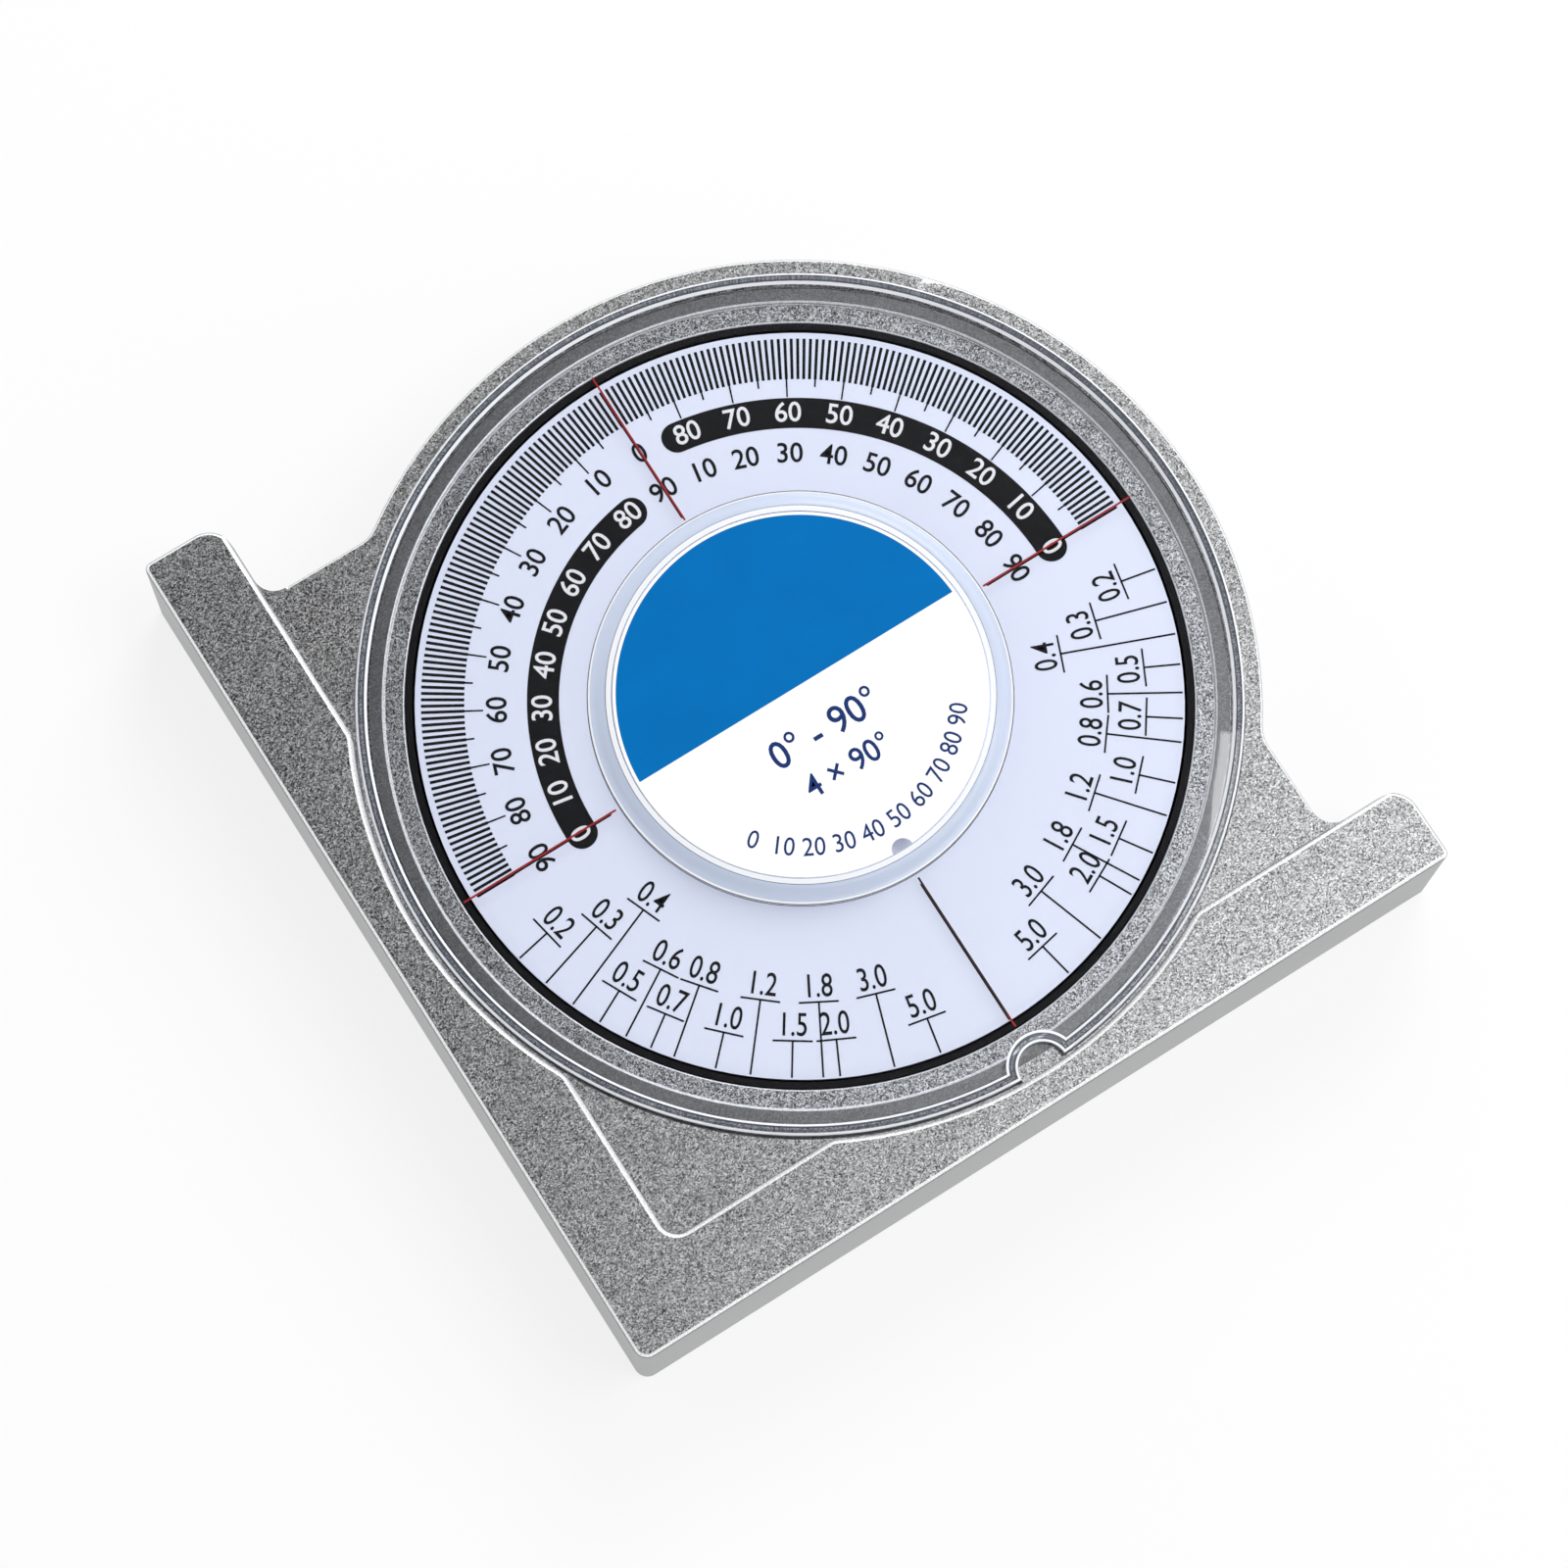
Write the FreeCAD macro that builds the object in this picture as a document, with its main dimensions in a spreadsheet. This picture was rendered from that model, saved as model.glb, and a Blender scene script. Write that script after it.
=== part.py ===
import FreeCAD, Part
import math
import os

import Sketcher

# Dial angle finder with two magnetic faces. Millimetres. The origin is where the pivot axis meets
# the back face. X runs along the base leg, Y along the side leg, and Z out of the dial.

SIZES = {
    # body
    "base_margin": (1.9, "head to the base face"),
    "side_margin": (2.6, "head to the side face"),
    "base_free_end": (9.7, "web to the free end of the base leg"),
    "side_free_end": (10.0, "web to the free end of the side leg"),
    "leg_width": (9.8, "width of both legs"),
    "leg_rise": (2.0, "legs above the head and webs"),
    "web_height": (16.0, "back face to the top of the head and webs"),
    "head_wall": (2.0, "wall of the head round the lens"),
    "leg_end_radius": (3.2, "inner corner at the free end of a leg"),
    "face_end_radius": (0.8, "outer corner at the free end of a leg"),
    "heel_radius": (1.6, "corner where the two magnetic faces meet"),
    "web_fillet": (2.5, "hollow corner between a web and its leg"),
    "head_fillet": (4.0, "hollow corner between a web and the head"),
    "recess_corner": (2.0, "corner of the recessed floor between the legs"),
    "step_run": (0.45, "slope of the wall from leg top to web, measured across"),
    "blend_radius": (2.5, "soft corner where the leg top meets the lens arc"),
    "top_bevel": (0.45, "bevel round the top of the legs"),
    "head_bevel": (0.3, "bevel round the head and webs"),
    "edge_bevel": (0.25, "bevel at the edges of the well"),
    "side_wall": (2.0, "wall round the inside of the body"),
    "front_wall": (2.6, "wall in front of the tray"),
    "rim_wall": (1.2, "wall round the back cover"),
    "inside_radius": (0.6, "least corner radius of an inner wall"),
    # well and lens
    "ledge_width": (2.3, "step between the well and the band under the lens"),
    "ledge_depth": (0.6, "drop of that step"),
    "band_width": (1.6, "band between the step and the groove of the lens"),
    "lens_skirt": (1.3, "wall of the skirt and rim of the lens"),
    "lens_fit": (0.2, "play of the lens in its groove"),
    "lens_lift": (0.1, "gap between the plate of the lens and the web"),
    "lens_plate": (1.2, "plate of the lens"),
    "lens_rim": (0.4, "rise of the lens rim over the plate"),
    "rim_bevel": (0.3, "bevels of the lens rim"),
    "groove_depth": (1.4, "depth of the groove that holds the skirt"),
    "leg_arc_gap": (0.1, "groove to the foot of the leg wall"),
    "notch_radius": (2.8, "half-round notch of the lens"),
    "label_radius": (20.9, "centre label"),
    "label_thickness": (0.3, "centre label"),
    "label_fit": (0.1, "play of the label in its recess"),
    "label_notch": (1.25, "half-round notch of the label"),
    "boss_border": (0.8, "label to the edge of the centre boss"),
    "boss_flare": (2.0, "how far the foot of the boss stands out"),
    "boss_rise": (1.3, "height of the boss over the plate"),
    "line_start_gap": (0.5, "foot of the boss to the reading lines"),
    "line_end_gap": (0.1, "outer end of the reading lines to the well"),
    "line_width": (0.2, "width of the reading lines"),
    "line_depth": (0.3, "depth of the reading lines"),
    # dial
    "dial_radius": (42.9, "printed card"),
    "dial_recess": (0.8, "card face below the web top"),
    "card_thickness": (0.6, "printed card"),
    "carrier_web": (1.2, "web of the carrier"),
    "carrier_inset": (1.4, "carrier rim to the edge of the card"),
    "carrier_rim": (1.5, "wall of the carrier rim"),
    "carrier_rim_depth": (3.0, "depth of the carrier rim"),
    "hub_radius": (4.0, "hub of the carrier"),
    "hub_fit": (0.05, "card hole round the hub"),
    "window_radius": (8.0, "lightening holes of the carrier"),
    "weight_gap": (2.0, "carrier rim to the counterweight"),
    "weight_width": (18.0, "counterweight, measured outwards"),
    "weight_thickness": (4.0, "counterweight"),
    "weight_boss": (2.2, "carrier bosses in the counterweight"),
    "weight_fit": (0.15, "play round those bosses"),
    # pivot
    "shaft_radius": (1.0, "pivot shaft"),
    "running_fit": (0.05, "play of the shaft in its bushes"),
    "bush_wall": (1.15, "wall of both bushes"),
    "bush_flange": (1.0, "how far the flange of the rear bush stands out"),
    "flange_height": (0.7, "flange of the rear bush"),
    "front_bush_length": (1.5, "bush in the lens"),
    "washer_width": (1.6, "thrust washers, measured outwards"),
    "washer_thickness": (0.4, "thrust washers"),
    "end_float": (0.2, "axial play at each end of the shaft"),
    "tip_gap": (0.3, "end of a shaft or screw to the bottom of its hole"),
    # tray
    "tray_lift": (0.8, "back cover to the tray"),
    "tray_floor": (1.4, "floor of the tray"),
    "tray_wall": (1.4, "wall of the tray"),
    "tray_rim": (0.7, "rim of the tray that shows round the card"),
    "dial_gap": (0.3, "card to the rim of the tray"),
    "tray_fit": (0.1, "rim of the tray in the well"),
    "flange_width": (1.3, "tray flange beyond the well"),
    "flange_thickness": (1.6, "tray flange"),
    "bearing_boss": (3.2, "height of the bearing boss from the underside of the tray"),
    "bearing_boss_wall": (2.0, "wall of the bearing boss of the tray"),
    "bush_floor": (0.8, "tray wall behind the rear bush"),
    "gasket_thickness": (0.5, "dust gasket"),
    "gasket_inset": (0.2, "gasket edges to the tray edges"),
    "ear_radius": (2.4, "ears of the tray and the pads that meet them"),
    "ear_gap": (0.52, "ears of the tray to the wall of the body"),
    # back cover and screws
    "cover_thickness": (2.0, "back cover"),
    "cover_fit": (0.15, "play round the back cover"),
    "post_radius": (2.1, "screw posts of the body"),
    "post_gap": (0.2, "tray flange to the post in the head"),
    "post_end": (6.0, "free end of a leg to the post in it"),
    "cover_screw_radius": (1.2, "shank of the cover screws"),
    "cover_head_radius": (2.0, "head of the cover screws"),
    "cover_screw_length": (8.0, "cover screws"),
    "head_sink": (0.2, "screw heads below the back face"),
    "tray_screw_radius": (0.95, "shank of the tray and weight screws"),
    "tray_head_radius": (1.9, "head of the tray and weight screws"),
    "tray_head_height": (1.0, "head of the tray and weight screws"),
    "tray_screw_wall": (0.9, "lens groove to the tray screws"),
    "screw_cap": (0.6, "body wall over the holes of the tray screws"),
    "drive_width": (0.55, "arms of the cross drive"),
    "drive_depth": (0.6, "depth of the cross drive"),
    "screw_play": (0.15, "clearance holes round screw shanks"),
    # magnets
    "magnet_length": (28.0, "bar magnets"),
    "magnet_thickness": (3.0, "bar magnets"),
    "magnet_gap": (6.0, "end to end between the two magnets of a leg"),
    "magnet_wall": (1.2, "wall between a magnet and its face"),
    "magnet_fit": (0.2, "play round a magnet in its pocket"),
    "magnet_lift": (0.4, "back cover to the magnets"),
    "magnet_headroom": (1.0, "magnets to the wall in front of them"),
    "strip_thickness": (1.0, "steel backing strips"),
}

HEAD_POST_ANGLE = math.radians(45)
EAR_ANGLES = [math.radians(angle) for angle in (135, 225, 315)]
WINDOW_ANGLES = [math.radians(angle) for angle in (20, 90, 160)]
WEIGHT_HALF_ANGLE = math.radians(52)
WEIGHT_SCREW_ANGLES = [math.radians(angle) for angle in (-122, -58)]
DOWN = math.radians(-90)
CUT_MARGIN = 5
DRIVE_REACH = 0.6
PAN_TOP = 0.8
PAN_EDGE = 0.4
SMALL = 1e-4

doc = FreeCAD.newDocument("angle_finder")
parts = []


class Size:
    """A length: its formula on the cells of the sheet, and the value that it has now."""

    def __init__(self, text, value):
        self.text = text
        self.value = value

    def __add__(self, other):
        other = as_size(other)
        return Size(f"({self.text} + {other.text})", self.value + other.value)

    def __sub__(self, other):
        other = as_size(other)
        return Size(f"({self.text} - {other.text})", self.value - other.value)

    def __mul__(self, other):
        other = as_size(other)
        return Size(f"({self.text} * {other.text})", self.value * other.value)

    def __truediv__(self, other):
        other = as_size(other)
        return Size(f"({self.text} / {other.text})", self.value / other.value)

    def __neg__(self):
        return self * -1

    def __radd__(self, other):
        return as_size(other) + self

    def __rsub__(self, other):
        return as_size(other) - self

    def __rmul__(self, other):
        return as_size(other) * self


def as_size(item):
    return item if isinstance(item, Size) else Size(f"({item!r})", item)


def root(item):
    return Size(f"sqrt({item.text})", math.sqrt(item.value))


def larger(first, second):
    return Size(f"max({first.text}; {second.text})", max(first.value, second.value))


def on_circle(radius, angle):
    return radius * round(math.cos(angle), 12), radius * round(math.sin(angle), 12)


def make_sheet():
    """The sheet of driving sizes: name, value and meaning, one size to a row."""
    sheet = doc.addObject("Spreadsheet::Sheet", "Sizes")
    for row, (alias, (value, meaning)) in enumerate(SIZES.items(), start=1):
        sheet.set(f"A{row}", alias)
        sheet.set(f"B{row}", str(value))
        sheet.set(f"C{row}", meaning)
        sheet.setAlias(f"B{row}", alias)
    doc.recompute()
    return {alias: Size(f"Sizes.{alias}", float(sheet.get(alias))) for alias in SIZES}


def bind(item, path, size):
    item.setExpression(path, as_size(size).text)


def new_body(label):
    body = doc.addObject("PartDesign::Body", label)
    body.Label = label
    return body


def new_sketch(body, name, role, level=None):
    """A sketch on one of the body's own origin planes, lifted to a level along its normal."""
    sketch = body.newObject("Sketcher::SketchObject", name)
    plane = next(item for item in body.Origin.OriginFeatures if item.Role == role)
    sketch.AttachmentSupport = [(plane, "")]
    sketch.MapMode = "FlatFace"
    if level is not None:
        bind(sketch, ".AttachmentOffset.Base.z", level)
    return sketch


def fix(sketch, kind, ends, size):
    size = as_size(size)
    index = sketch.addConstraint(Sketcher.Constraint(kind, *ends, size.value))
    if "Sizes." in size.text:
        bind(sketch, f"Constraints[{index}]", size)


def fix_point(sketch, item, point, x, y):
    fix(sketch, "DistanceX", (-1, 1, item, point), x)
    fix(sketch, "DistanceY", (-1, 1, item, point), y)


def circle(sketch, x, y, radius):
    x, y, radius = as_size(x), as_size(y), as_size(radius)
    centre = FreeCAD.Vector(x.value, y.value, 0)
    item = sketch.addGeometry(Part.Circle(centre, FreeCAD.Vector(0, 0, 1), radius.value))
    fix_point(sketch, item, 3, x, y)
    fix(sketch, "Radius", (item,), radius)


def arc_between(start, end, centre, turn):
    """A circular edge from start to end, anticlockwise where turn is 1."""
    first, last = (start, end) if turn > 0 else (end, start)
    first, last = first - centre, last - centre
    low = math.atan2(first.y, first.x)
    high = math.atan2(last.y, last.x)
    if high <= low:
        high += 2 * math.pi
    base = Part.Circle(centre, FreeCAD.Vector(0, 0, 1), first.Length)
    return Part.ArcOfCircle(base, low, high)


def outline(sketch, path):
    """A closed outline. Each step of the path is the point that a run ends at, and for an arc
    also its centre and its turn, 1 for anticlockwise and -1 for clockwise."""
    steps = [tuple(as_size(value) for value in step[:4]) + tuple(step[4:]) for step in path]
    points = [FreeCAD.Vector(step[0].value, step[1].value, 0) for step in steps]
    ends = []
    for number, step in enumerate(steps):
        start, end = points[number - 1], points[number]
        if len(step) == 2:
            item = sketch.addGeometry(Part.LineSegment(start, end))
            ends.append((item, 1, 2))
        else:
            centre = FreeCAD.Vector(step[2].value, step[3].value, 0)
            item = sketch.addGeometry(arc_between(start, end, centre, step[4]))
            ends.append((item, 1, 2) if step[4] > 0 else (item, 2, 1))
    for number, step in enumerate(steps):
        item, first, last = ends[number]
        previous, _, previous_last = ends[number - 1]
        sketch.addConstraint(Sketcher.Constraint("Coincident", previous, previous_last, item, first))
        fix_point(sketch, item, last, step[0], step[1])
        if len(step) > 2:
            run = points[number] - points[number - 1]
            if abs(run.x) < abs(run.y):
                fix(sketch, "DistanceX", (-1, 1, item, 3), step[2])
            else:
                fix(sketch, "DistanceY", (-1, 1, item, 3), step[3])


def rectangle(sketch, low_x, low_y, high_x, high_y):
    outline(sketch, [(low_x, low_y), (high_x, low_y), (high_x, high_y), (low_x, high_y)])


def spin(body, name, profile):
    """A turned shape round the pivot axis. The profile is a list of radius and level."""
    sketch = new_sketch(body, f"{name}_profile", "XZ_Plane")
    outline(sketch, profile)
    feature = body.newObject("PartDesign::Revolution", name)
    feature.Profile = sketch
    feature.ReferenceAxis = (sketch, ["V_Axis"])
    feature.Angle = 360
    return settle(feature)


def add(body, name, draw, low, high):
    """A pad from one level up to another. The draw function fills its sketch."""
    sketch = new_sketch(body, f"{name}_sketch", "XY_Plane", low)
    draw(sketch)
    feature = body.newObject("PartDesign::Pad", name)
    feature.Profile = sketch
    bind(feature, "Length", high - low)
    return settle(feature)


def cut(body, name, draw, low, high, taper=None):
    """A pocket from one level down to another, with a check that it removes something. It gets
    narrower on its way down where the taper is below 0."""
    before = body.Shape.Volume
    sketch = new_sketch(body, f"{name}_sketch", "XY_Plane", high)
    draw(sketch)
    feature = body.newObject("PartDesign::Pocket", name)
    feature.Profile = sketch
    bind(feature, "Length", high - low)
    if taper is not None:
        feature.setExpression("TaperAngle", taper)
    settle(feature)
    if body.Shape.Volume > before - SMALL:
        raise RuntimeError(f"{name} cuts nothing")
    return feature


def edge_names(shape, wanted):
    return [f"Edge{number}" for number, edge in enumerate(shape.Edges, start=1) if wanted(edge)]


def is_level(edge, level):
    box = edge.BoundBox
    return abs(box.ZMin - level.value) < 0.01 and abs(box.ZMax - level.value) < 0.01


def ring_radius(edge):
    """Radius of an edge that runs round the pivot axis, and 0 for any other edge."""
    curve = edge.Curve
    if isinstance(curve, Part.Circle) and math.hypot(curve.Center.x, curve.Center.y) < 0.01:
        return curve.Radius
    return 0


def settle(feature):
    """Recomputes the model and stops if this feature failed."""
    doc.recompute()
    if "Invalid" in feature.State or "Error" in feature.State:
        raise RuntimeError(f"{feature.Label} can't be made: {feature.getStatusString()}")
    return feature


def bevel(body, name, wanted, size, kind="Chamfer"):
    """A chamfer or fillet on the edges of the body's tip that the wanted function picks."""
    base = body.Tip
    feature = body.newObject(f"PartDesign::{kind}", name)
    feature.Base = (base, edge_names(base.Shape, wanted))
    bind(feature, "Size" if kind == "Chamfer" else "Radius", size)
    return settle(feature)


def keep(item):
    parts.append(item)
    return item


def copies(label, master, places):
    """A group of separate solids: the master piece at each place in the plan."""
    links = []
    for number, (x, y) in enumerate(places, start=1):
        link = doc.addObject("App::Link", f"{label}_{number}")
        link.LinkedObject = master
        bind(link, ".Placement.Base.x", x)
        bind(link, ".Placement.Base.y", y)
        links.append(link)
    group = doc.addObject("Part::Compound", label)
    group.Label = label
    group.Links = links
    doc.recompute()
    return keep(group)


s = make_sheet()

# Levels above the back face
web_top = s["web_height"]
leg_top = web_top + s["leg_rise"]
ceiling = web_top - s["front_wall"]
ledge_top = web_top - s["ledge_depth"]
groove_floor = web_top - s["groove_depth"]
plate_bottom = web_top + s["lens_lift"]
plate_top = plate_bottom + s["lens_plate"]
rim_top = plate_top + s["lens_rim"]
boss_top = plate_top + s["boss_rise"]
label_seat = boss_top - s["label_thickness"]
card_top = web_top - s["dial_recess"]
card_bottom = card_top - s["card_thickness"]
carrier_bottom = card_bottom - s["carrier_web"]
weight_bottom = carrier_bottom - s["weight_thickness"]
hub_top = plate_bottom - s["end_float"] - s["washer_thickness"]
cover_top = s["cover_thickness"]
tray_bottom = cover_top + s["tray_lift"]
tray_inside = tray_bottom + s["tray_floor"]
bearing_top = tray_bottom + s["bearing_boss"]
bush_bottom = tray_bottom + s["bush_floor"]
hub_bottom = bearing_top + s["flange_height"] + s["end_float"] + s["washer_thickness"]
flange_top = ceiling - s["gasket_thickness"]
flange_bottom = flange_top - s["flange_thickness"]
magnet_bottom = cover_top + s["magnet_lift"]
magnet_top = ceiling - s["magnet_headroom"]

# Radii, from the card outwards
tray_inner = s["dial_radius"] + s["dial_gap"]
tray_rim_outer = tray_inner + s["tray_rim"]
tray_outer = tray_inner + s["tray_wall"]
well_radius = tray_rim_outer + s["tray_fit"]
flange_outer = well_radius + s["flange_width"]
ledge_radius = well_radius + s["ledge_width"]
groove_inner = ledge_radius + s["band_width"]
skirt_inner = groove_inner + s["lens_fit"]
lens_radius = skirt_inner + s["lens_skirt"]
groove_outer = lens_radius + s["lens_fit"]
leg_arc = groove_outer + s["leg_arc_gap"]
head_radius = groove_outer + s["head_wall"]
boss_radius = s["label_radius"] + s["boss_border"]
boss_foot = boss_radius + s["boss_flare"]
carrier_outer = s["dial_radius"] - s["carrier_inset"]
carrier_inner = carrier_outer - s["carrier_rim"]
weight_outer = carrier_inner - s["weight_gap"]
weight_inner = weight_outer - s["weight_width"]
bush_hole = s["shaft_radius"] + s["running_fit"]
bush_radius = bush_hole + s["bush_wall"]

# Places in the plan
ear_circle = groove_outer + s["tray_screw_wall"] + s["tray_screw_radius"]
ear_places = [on_circle(ear_circle, angle) for angle in EAR_ANGLES]
web_reach = ear_places[-1][0] + s["ear_radius"] + s["ear_gap"] + s["side_wall"]
base_offset = head_radius + s["base_margin"]
side_offset = head_radius + s["side_margin"]
base_reach = web_reach + s["base_free_end"]
side_reach = web_reach + s["side_free_end"]
leg_inner_x = side_offset - s["leg_width"]
leg_inner_y = base_offset - s["leg_width"]
leg_middle_x = side_offset - s["leg_width"] / 2
leg_middle_y = base_offset - s["leg_width"] / 2
cover_screw_places = [
    (-leg_middle_x, -leg_middle_y),
    (base_reach - s["post_end"], -leg_middle_y),
    (-leg_middle_x, side_reach - s["post_end"]),
    on_circle(flange_outer + s["post_gap"] + s["post_radius"], HEAD_POST_ANGLE),
]
window_circle = (s["hub_radius"] + carrier_inner) / 2
weight_circle = (weight_inner + weight_outer) / 2
weight_screw_places = [on_circle(weight_circle, angle) for angle in WEIGHT_SCREW_ANGLES]
magnet_spacing = s["magnet_length"] + s["magnet_gap"]
tray_screw_length = web_top - s["screw_cap"] - s["tip_gap"] - flange_bottom
weight_screw_length = card_bottom - s["tip_gap"] - weight_bottom


def body_path(inset):
    """The plan outline of the body, drawn inwards by the inset, anticlockwise from the heel."""
    side, base = side_offset - inset, base_offset - inset
    reach_x, reach_y = base_reach - inset, side_reach - inset
    inner_x, inner_y = leg_inner_x + inset, leg_inner_y + inset
    web = web_reach - inset
    head = head_radius - inset
    heel = larger(s["heel_radius"] - inset, s["inside_radius"])
    face_end = larger(s["face_end_radius"] - inset, s["inside_radius"])
    leg_end = larger(s["leg_end_radius"] - inset, s["inside_radius"])
    hollow = s["web_fillet"] + inset
    neck = s["head_fillet"] + inset
    far = root((head + neck) * (head + neck) - (web + neck) * (web + neck))
    share = head / (head + neck)
    return [
        (-side + heel, -base, -side + heel, -base + heel, 1),
        (reach_x - face_end, -base),
        (reach_x, -base + face_end, reach_x - face_end, -base + face_end, 1),
        (reach_x, -inner_y - leg_end),
        (reach_x - leg_end, -inner_y, reach_x - leg_end, -inner_y - leg_end, 1),
        (web + hollow, -inner_y),
        (web, -inner_y + hollow, web + hollow, -inner_y + hollow, -1),
        (web, -far),
        ((web + neck) * share, -far * share, web + neck, -far, -1),
        (-far * share, (web + neck) * share, 0, 0, 1),
        (-far, web, -far, web + neck, -1),
        (-inner_x + hollow, web),
        (-inner_x, web + hollow, -inner_x + hollow, web + hollow, -1),
        (-inner_x, reach_y - leg_end),
        (-inner_x - leg_end, reach_y, -inner_x - leg_end, reach_y - leg_end, 1),
        (-side + face_end, reach_y),
        (-side, reach_y - face_end, -side + face_end, reach_y - face_end, 1),
        (-side, -base + heel),
    ]


def head_edge_path(inset):
    """The area outside the head and webs, from one web to the other, drawn inwards by the inset.
    It follows the outline of the body backwards."""
    path = body_path(inset)
    far = head_radius + CUT_MARGIN
    run = path[6:12]
    edge = [(run[-1][0], far), run[-1][:2]]
    for number in range(len(run) - 1, 0, -1):
        arc = run[number][2:]
        back = (arc[0], arc[1], -arc[2]) if arc else ()
        edge.append((*run[number - 1][:2], *back))
    return edge + [(far, run[0][1]), (far, far)]


def step_path(offset):
    """The area above the webs, head and corner floor: a square between the legs, widened by the
    arc that clears the lens, and drawn outwards by the offset."""
    inner_x, inner_y = leg_inner_x + offset, leg_inner_y + offset
    arc = leg_arc + offset
    blend = s["blend_radius"] - offset
    far = head_radius + CUT_MARGIN
    corner = s["recess_corner"] + offset
    share = arc / (arc + blend)
    blend_y = root((arc + blend) * (arc + blend) - (inner_x + blend) * (inner_x + blend))
    blend_x = root((arc + blend) * (arc + blend) - (inner_y + blend) * (inner_y + blend))
    bite_x, bite_y = (inner_x + blend) * share, (inner_y + blend) * share
    return [
        (-inner_x, far),
        (-inner_x, blend_y),
        (-bite_x, blend_y * share, -inner_x - blend, blend_y, -1),
        (-bite_x, -blend_y * share, 0, 0, 1),
        (-inner_x, -blend_y, -inner_x - blend, -blend_y, -1),
        (-inner_x, -inner_y + corner),
        (-inner_x + corner, -inner_y, -inner_x + corner, -inner_y + corner, 1),
        (-blend_x, -inner_y),
        (-blend_x * share, -bite_y, -blend_x, -inner_y - blend, -1),
        (blend_x * share, -bite_y, 0, 0, 1),
        (blend_x, -inner_y, blend_x, -inner_y - blend, -1),
        (far, -inner_y),
        (far, far),
    ]


def magnet_rows():
    """For each leg: its centre line along the face, and a function from along and across to the
    plan, so that one set of sizes places the pieces of both legs."""
    return {
        "base": (base_offset, lambda along, across: (along, -across)),
        "side": (side_offset, lambda along, across: (-across, along)),
    }


def bar_corners(to_plan, middle_along, length, face, thickness):
    """Two opposite corners in the plan of a bar that lies along a leg."""
    first = to_plan(middle_along - length / 2, face)
    second = to_plan(middle_along + length / 2, face - thickness)
    low_x, high_x = sorted((first[0], second[0]), key=lambda size: size.value)
    low_y, high_y = sorted((first[1], second[1]), key=lambda size: size.value)
    return low_x, low_y, high_x, high_y


def make_front_housing():
    """The silver body: legs, head and webs in one casting, open at the back."""
    body = new_body("front_housing")
    add(body, "solid", lambda sk: outline(sk, body_path(as_size(0))), as_size(0), leg_top)
    bevel(body, "leg_bevel", lambda edge: is_level(edge, leg_top), s["top_bevel"])
    cut_step(body)
    edge_low = web_top - s["head_bevel"]
    draw = lambda sk: outline(sk, head_edge_path(s["head_bevel"]))
    cut(body, "head_edge_bevel", draw, edge_low, web_top, "-45 deg")
    cut(body, "ledge", lambda sk: circle(sk, 0, 0, ledge_radius), ledge_top, web_top)
    cut_groove(body)
    cut(body, "cover_seat", lambda sk: outline(sk, body_path(s["rim_wall"])), as_size(0), cover_top)
    cut(body, "inside", lambda sk: outline(sk, body_path(s["side_wall"])), cover_top, ceiling)
    cut(body, "well", lambda sk: circle(sk, 0, 0, well_radius), ceiling, ledge_top)
    bevel(body, "well_bevel", is_well_edge, s["edge_bevel"])
    cut_magnet_pockets(body)
    add_posts(body)
    return keep(body)


def cut_step(body):
    """Lowers the head, webs and corner floor below the legs, with a sloped and beveled wall."""
    run, rise, width = s["step_run"], leg_top - web_top, s["top_bevel"]
    slope = f"-atan({run.text} / {rise.text})"
    cut(body, "step", lambda sk: outline(sk, step_path(run)), web_top, leg_top, slope)
    offset = run - run * width / rise + width
    low = leg_top - width
    cut(body, "step_bevel", lambda sk: outline(sk, step_path(offset)), low, leg_top, "-45 deg")


def is_well_edge(edge):
    at_well = is_level(edge, ledge_top) and abs(ring_radius(edge) - well_radius.value) < 0.01
    at_ledge = is_level(edge, web_top) and abs(ring_radius(edge) - ledge_radius.value) < 0.01
    return at_well or at_ledge


def cut_groove(body):
    """The ring groove for the skirt of the lens, with a half-round key left in it that holds the
    lens at its one right angle."""
    def ring(sketch):
        circle(sketch, 0, 0, groove_outer)
        circle(sketch, 0, 0, groove_inner)
    cut(body, "groove", ring, groove_floor, web_top)
    key = s["notch_radius"] - s["lens_fit"]
    add(body, "key", lambda sk: circle(sk, 0, -lens_radius, key), groove_floor, web_top)


def cut_magnet_pockets(body):
    """Shallow seats in the walls behind the two magnetic faces."""
    for name, (offset, to_plan) in magnet_rows().items():
        def seats(sketch):
            for side in (-0.5, 0.5):
                length = s["magnet_length"] + 2 * s["magnet_fit"]
                depth = s["side_wall"] - s["magnet_wall"] + s["magnet_fit"]
                face = offset - s["magnet_wall"]
                corners = bar_corners(to_plan, side * magnet_spacing, length, face, depth)
                rectangle(sketch, *corners)
        cut(body, f"{name}_magnet_seats", seats, cover_top, ceiling)


def add_posts(body):
    """Posts for the cover screws, pads for the ears of the tray, and their pilot holes."""
    def posts(sketch):
        for x, y in cover_screw_places:
            circle(sketch, x, y, s["post_radius"])

    def pads(sketch):
        for x, y in ear_places:
            circle(sketch, x, y, s["ear_radius"])

    def post_holes(sketch):
        for x, y in cover_screw_places:
            circle(sketch, x, y, s["cover_screw_radius"])

    def pad_holes(sketch):
        for x, y in ear_places:
            circle(sketch, x, y, s["tray_screw_radius"])
    add(body, "posts", posts, cover_top, ceiling)
    add(body, "pads", pads, flange_top, ceiling)
    hole_top = s["head_sink"] + s["cover_screw_length"] + s["tip_gap"]
    cut(body, "post_holes", post_holes, cover_top, hole_top)
    cut(body, "pad_holes", pad_holes, flange_top, web_top - s["screw_cap"])


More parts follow.
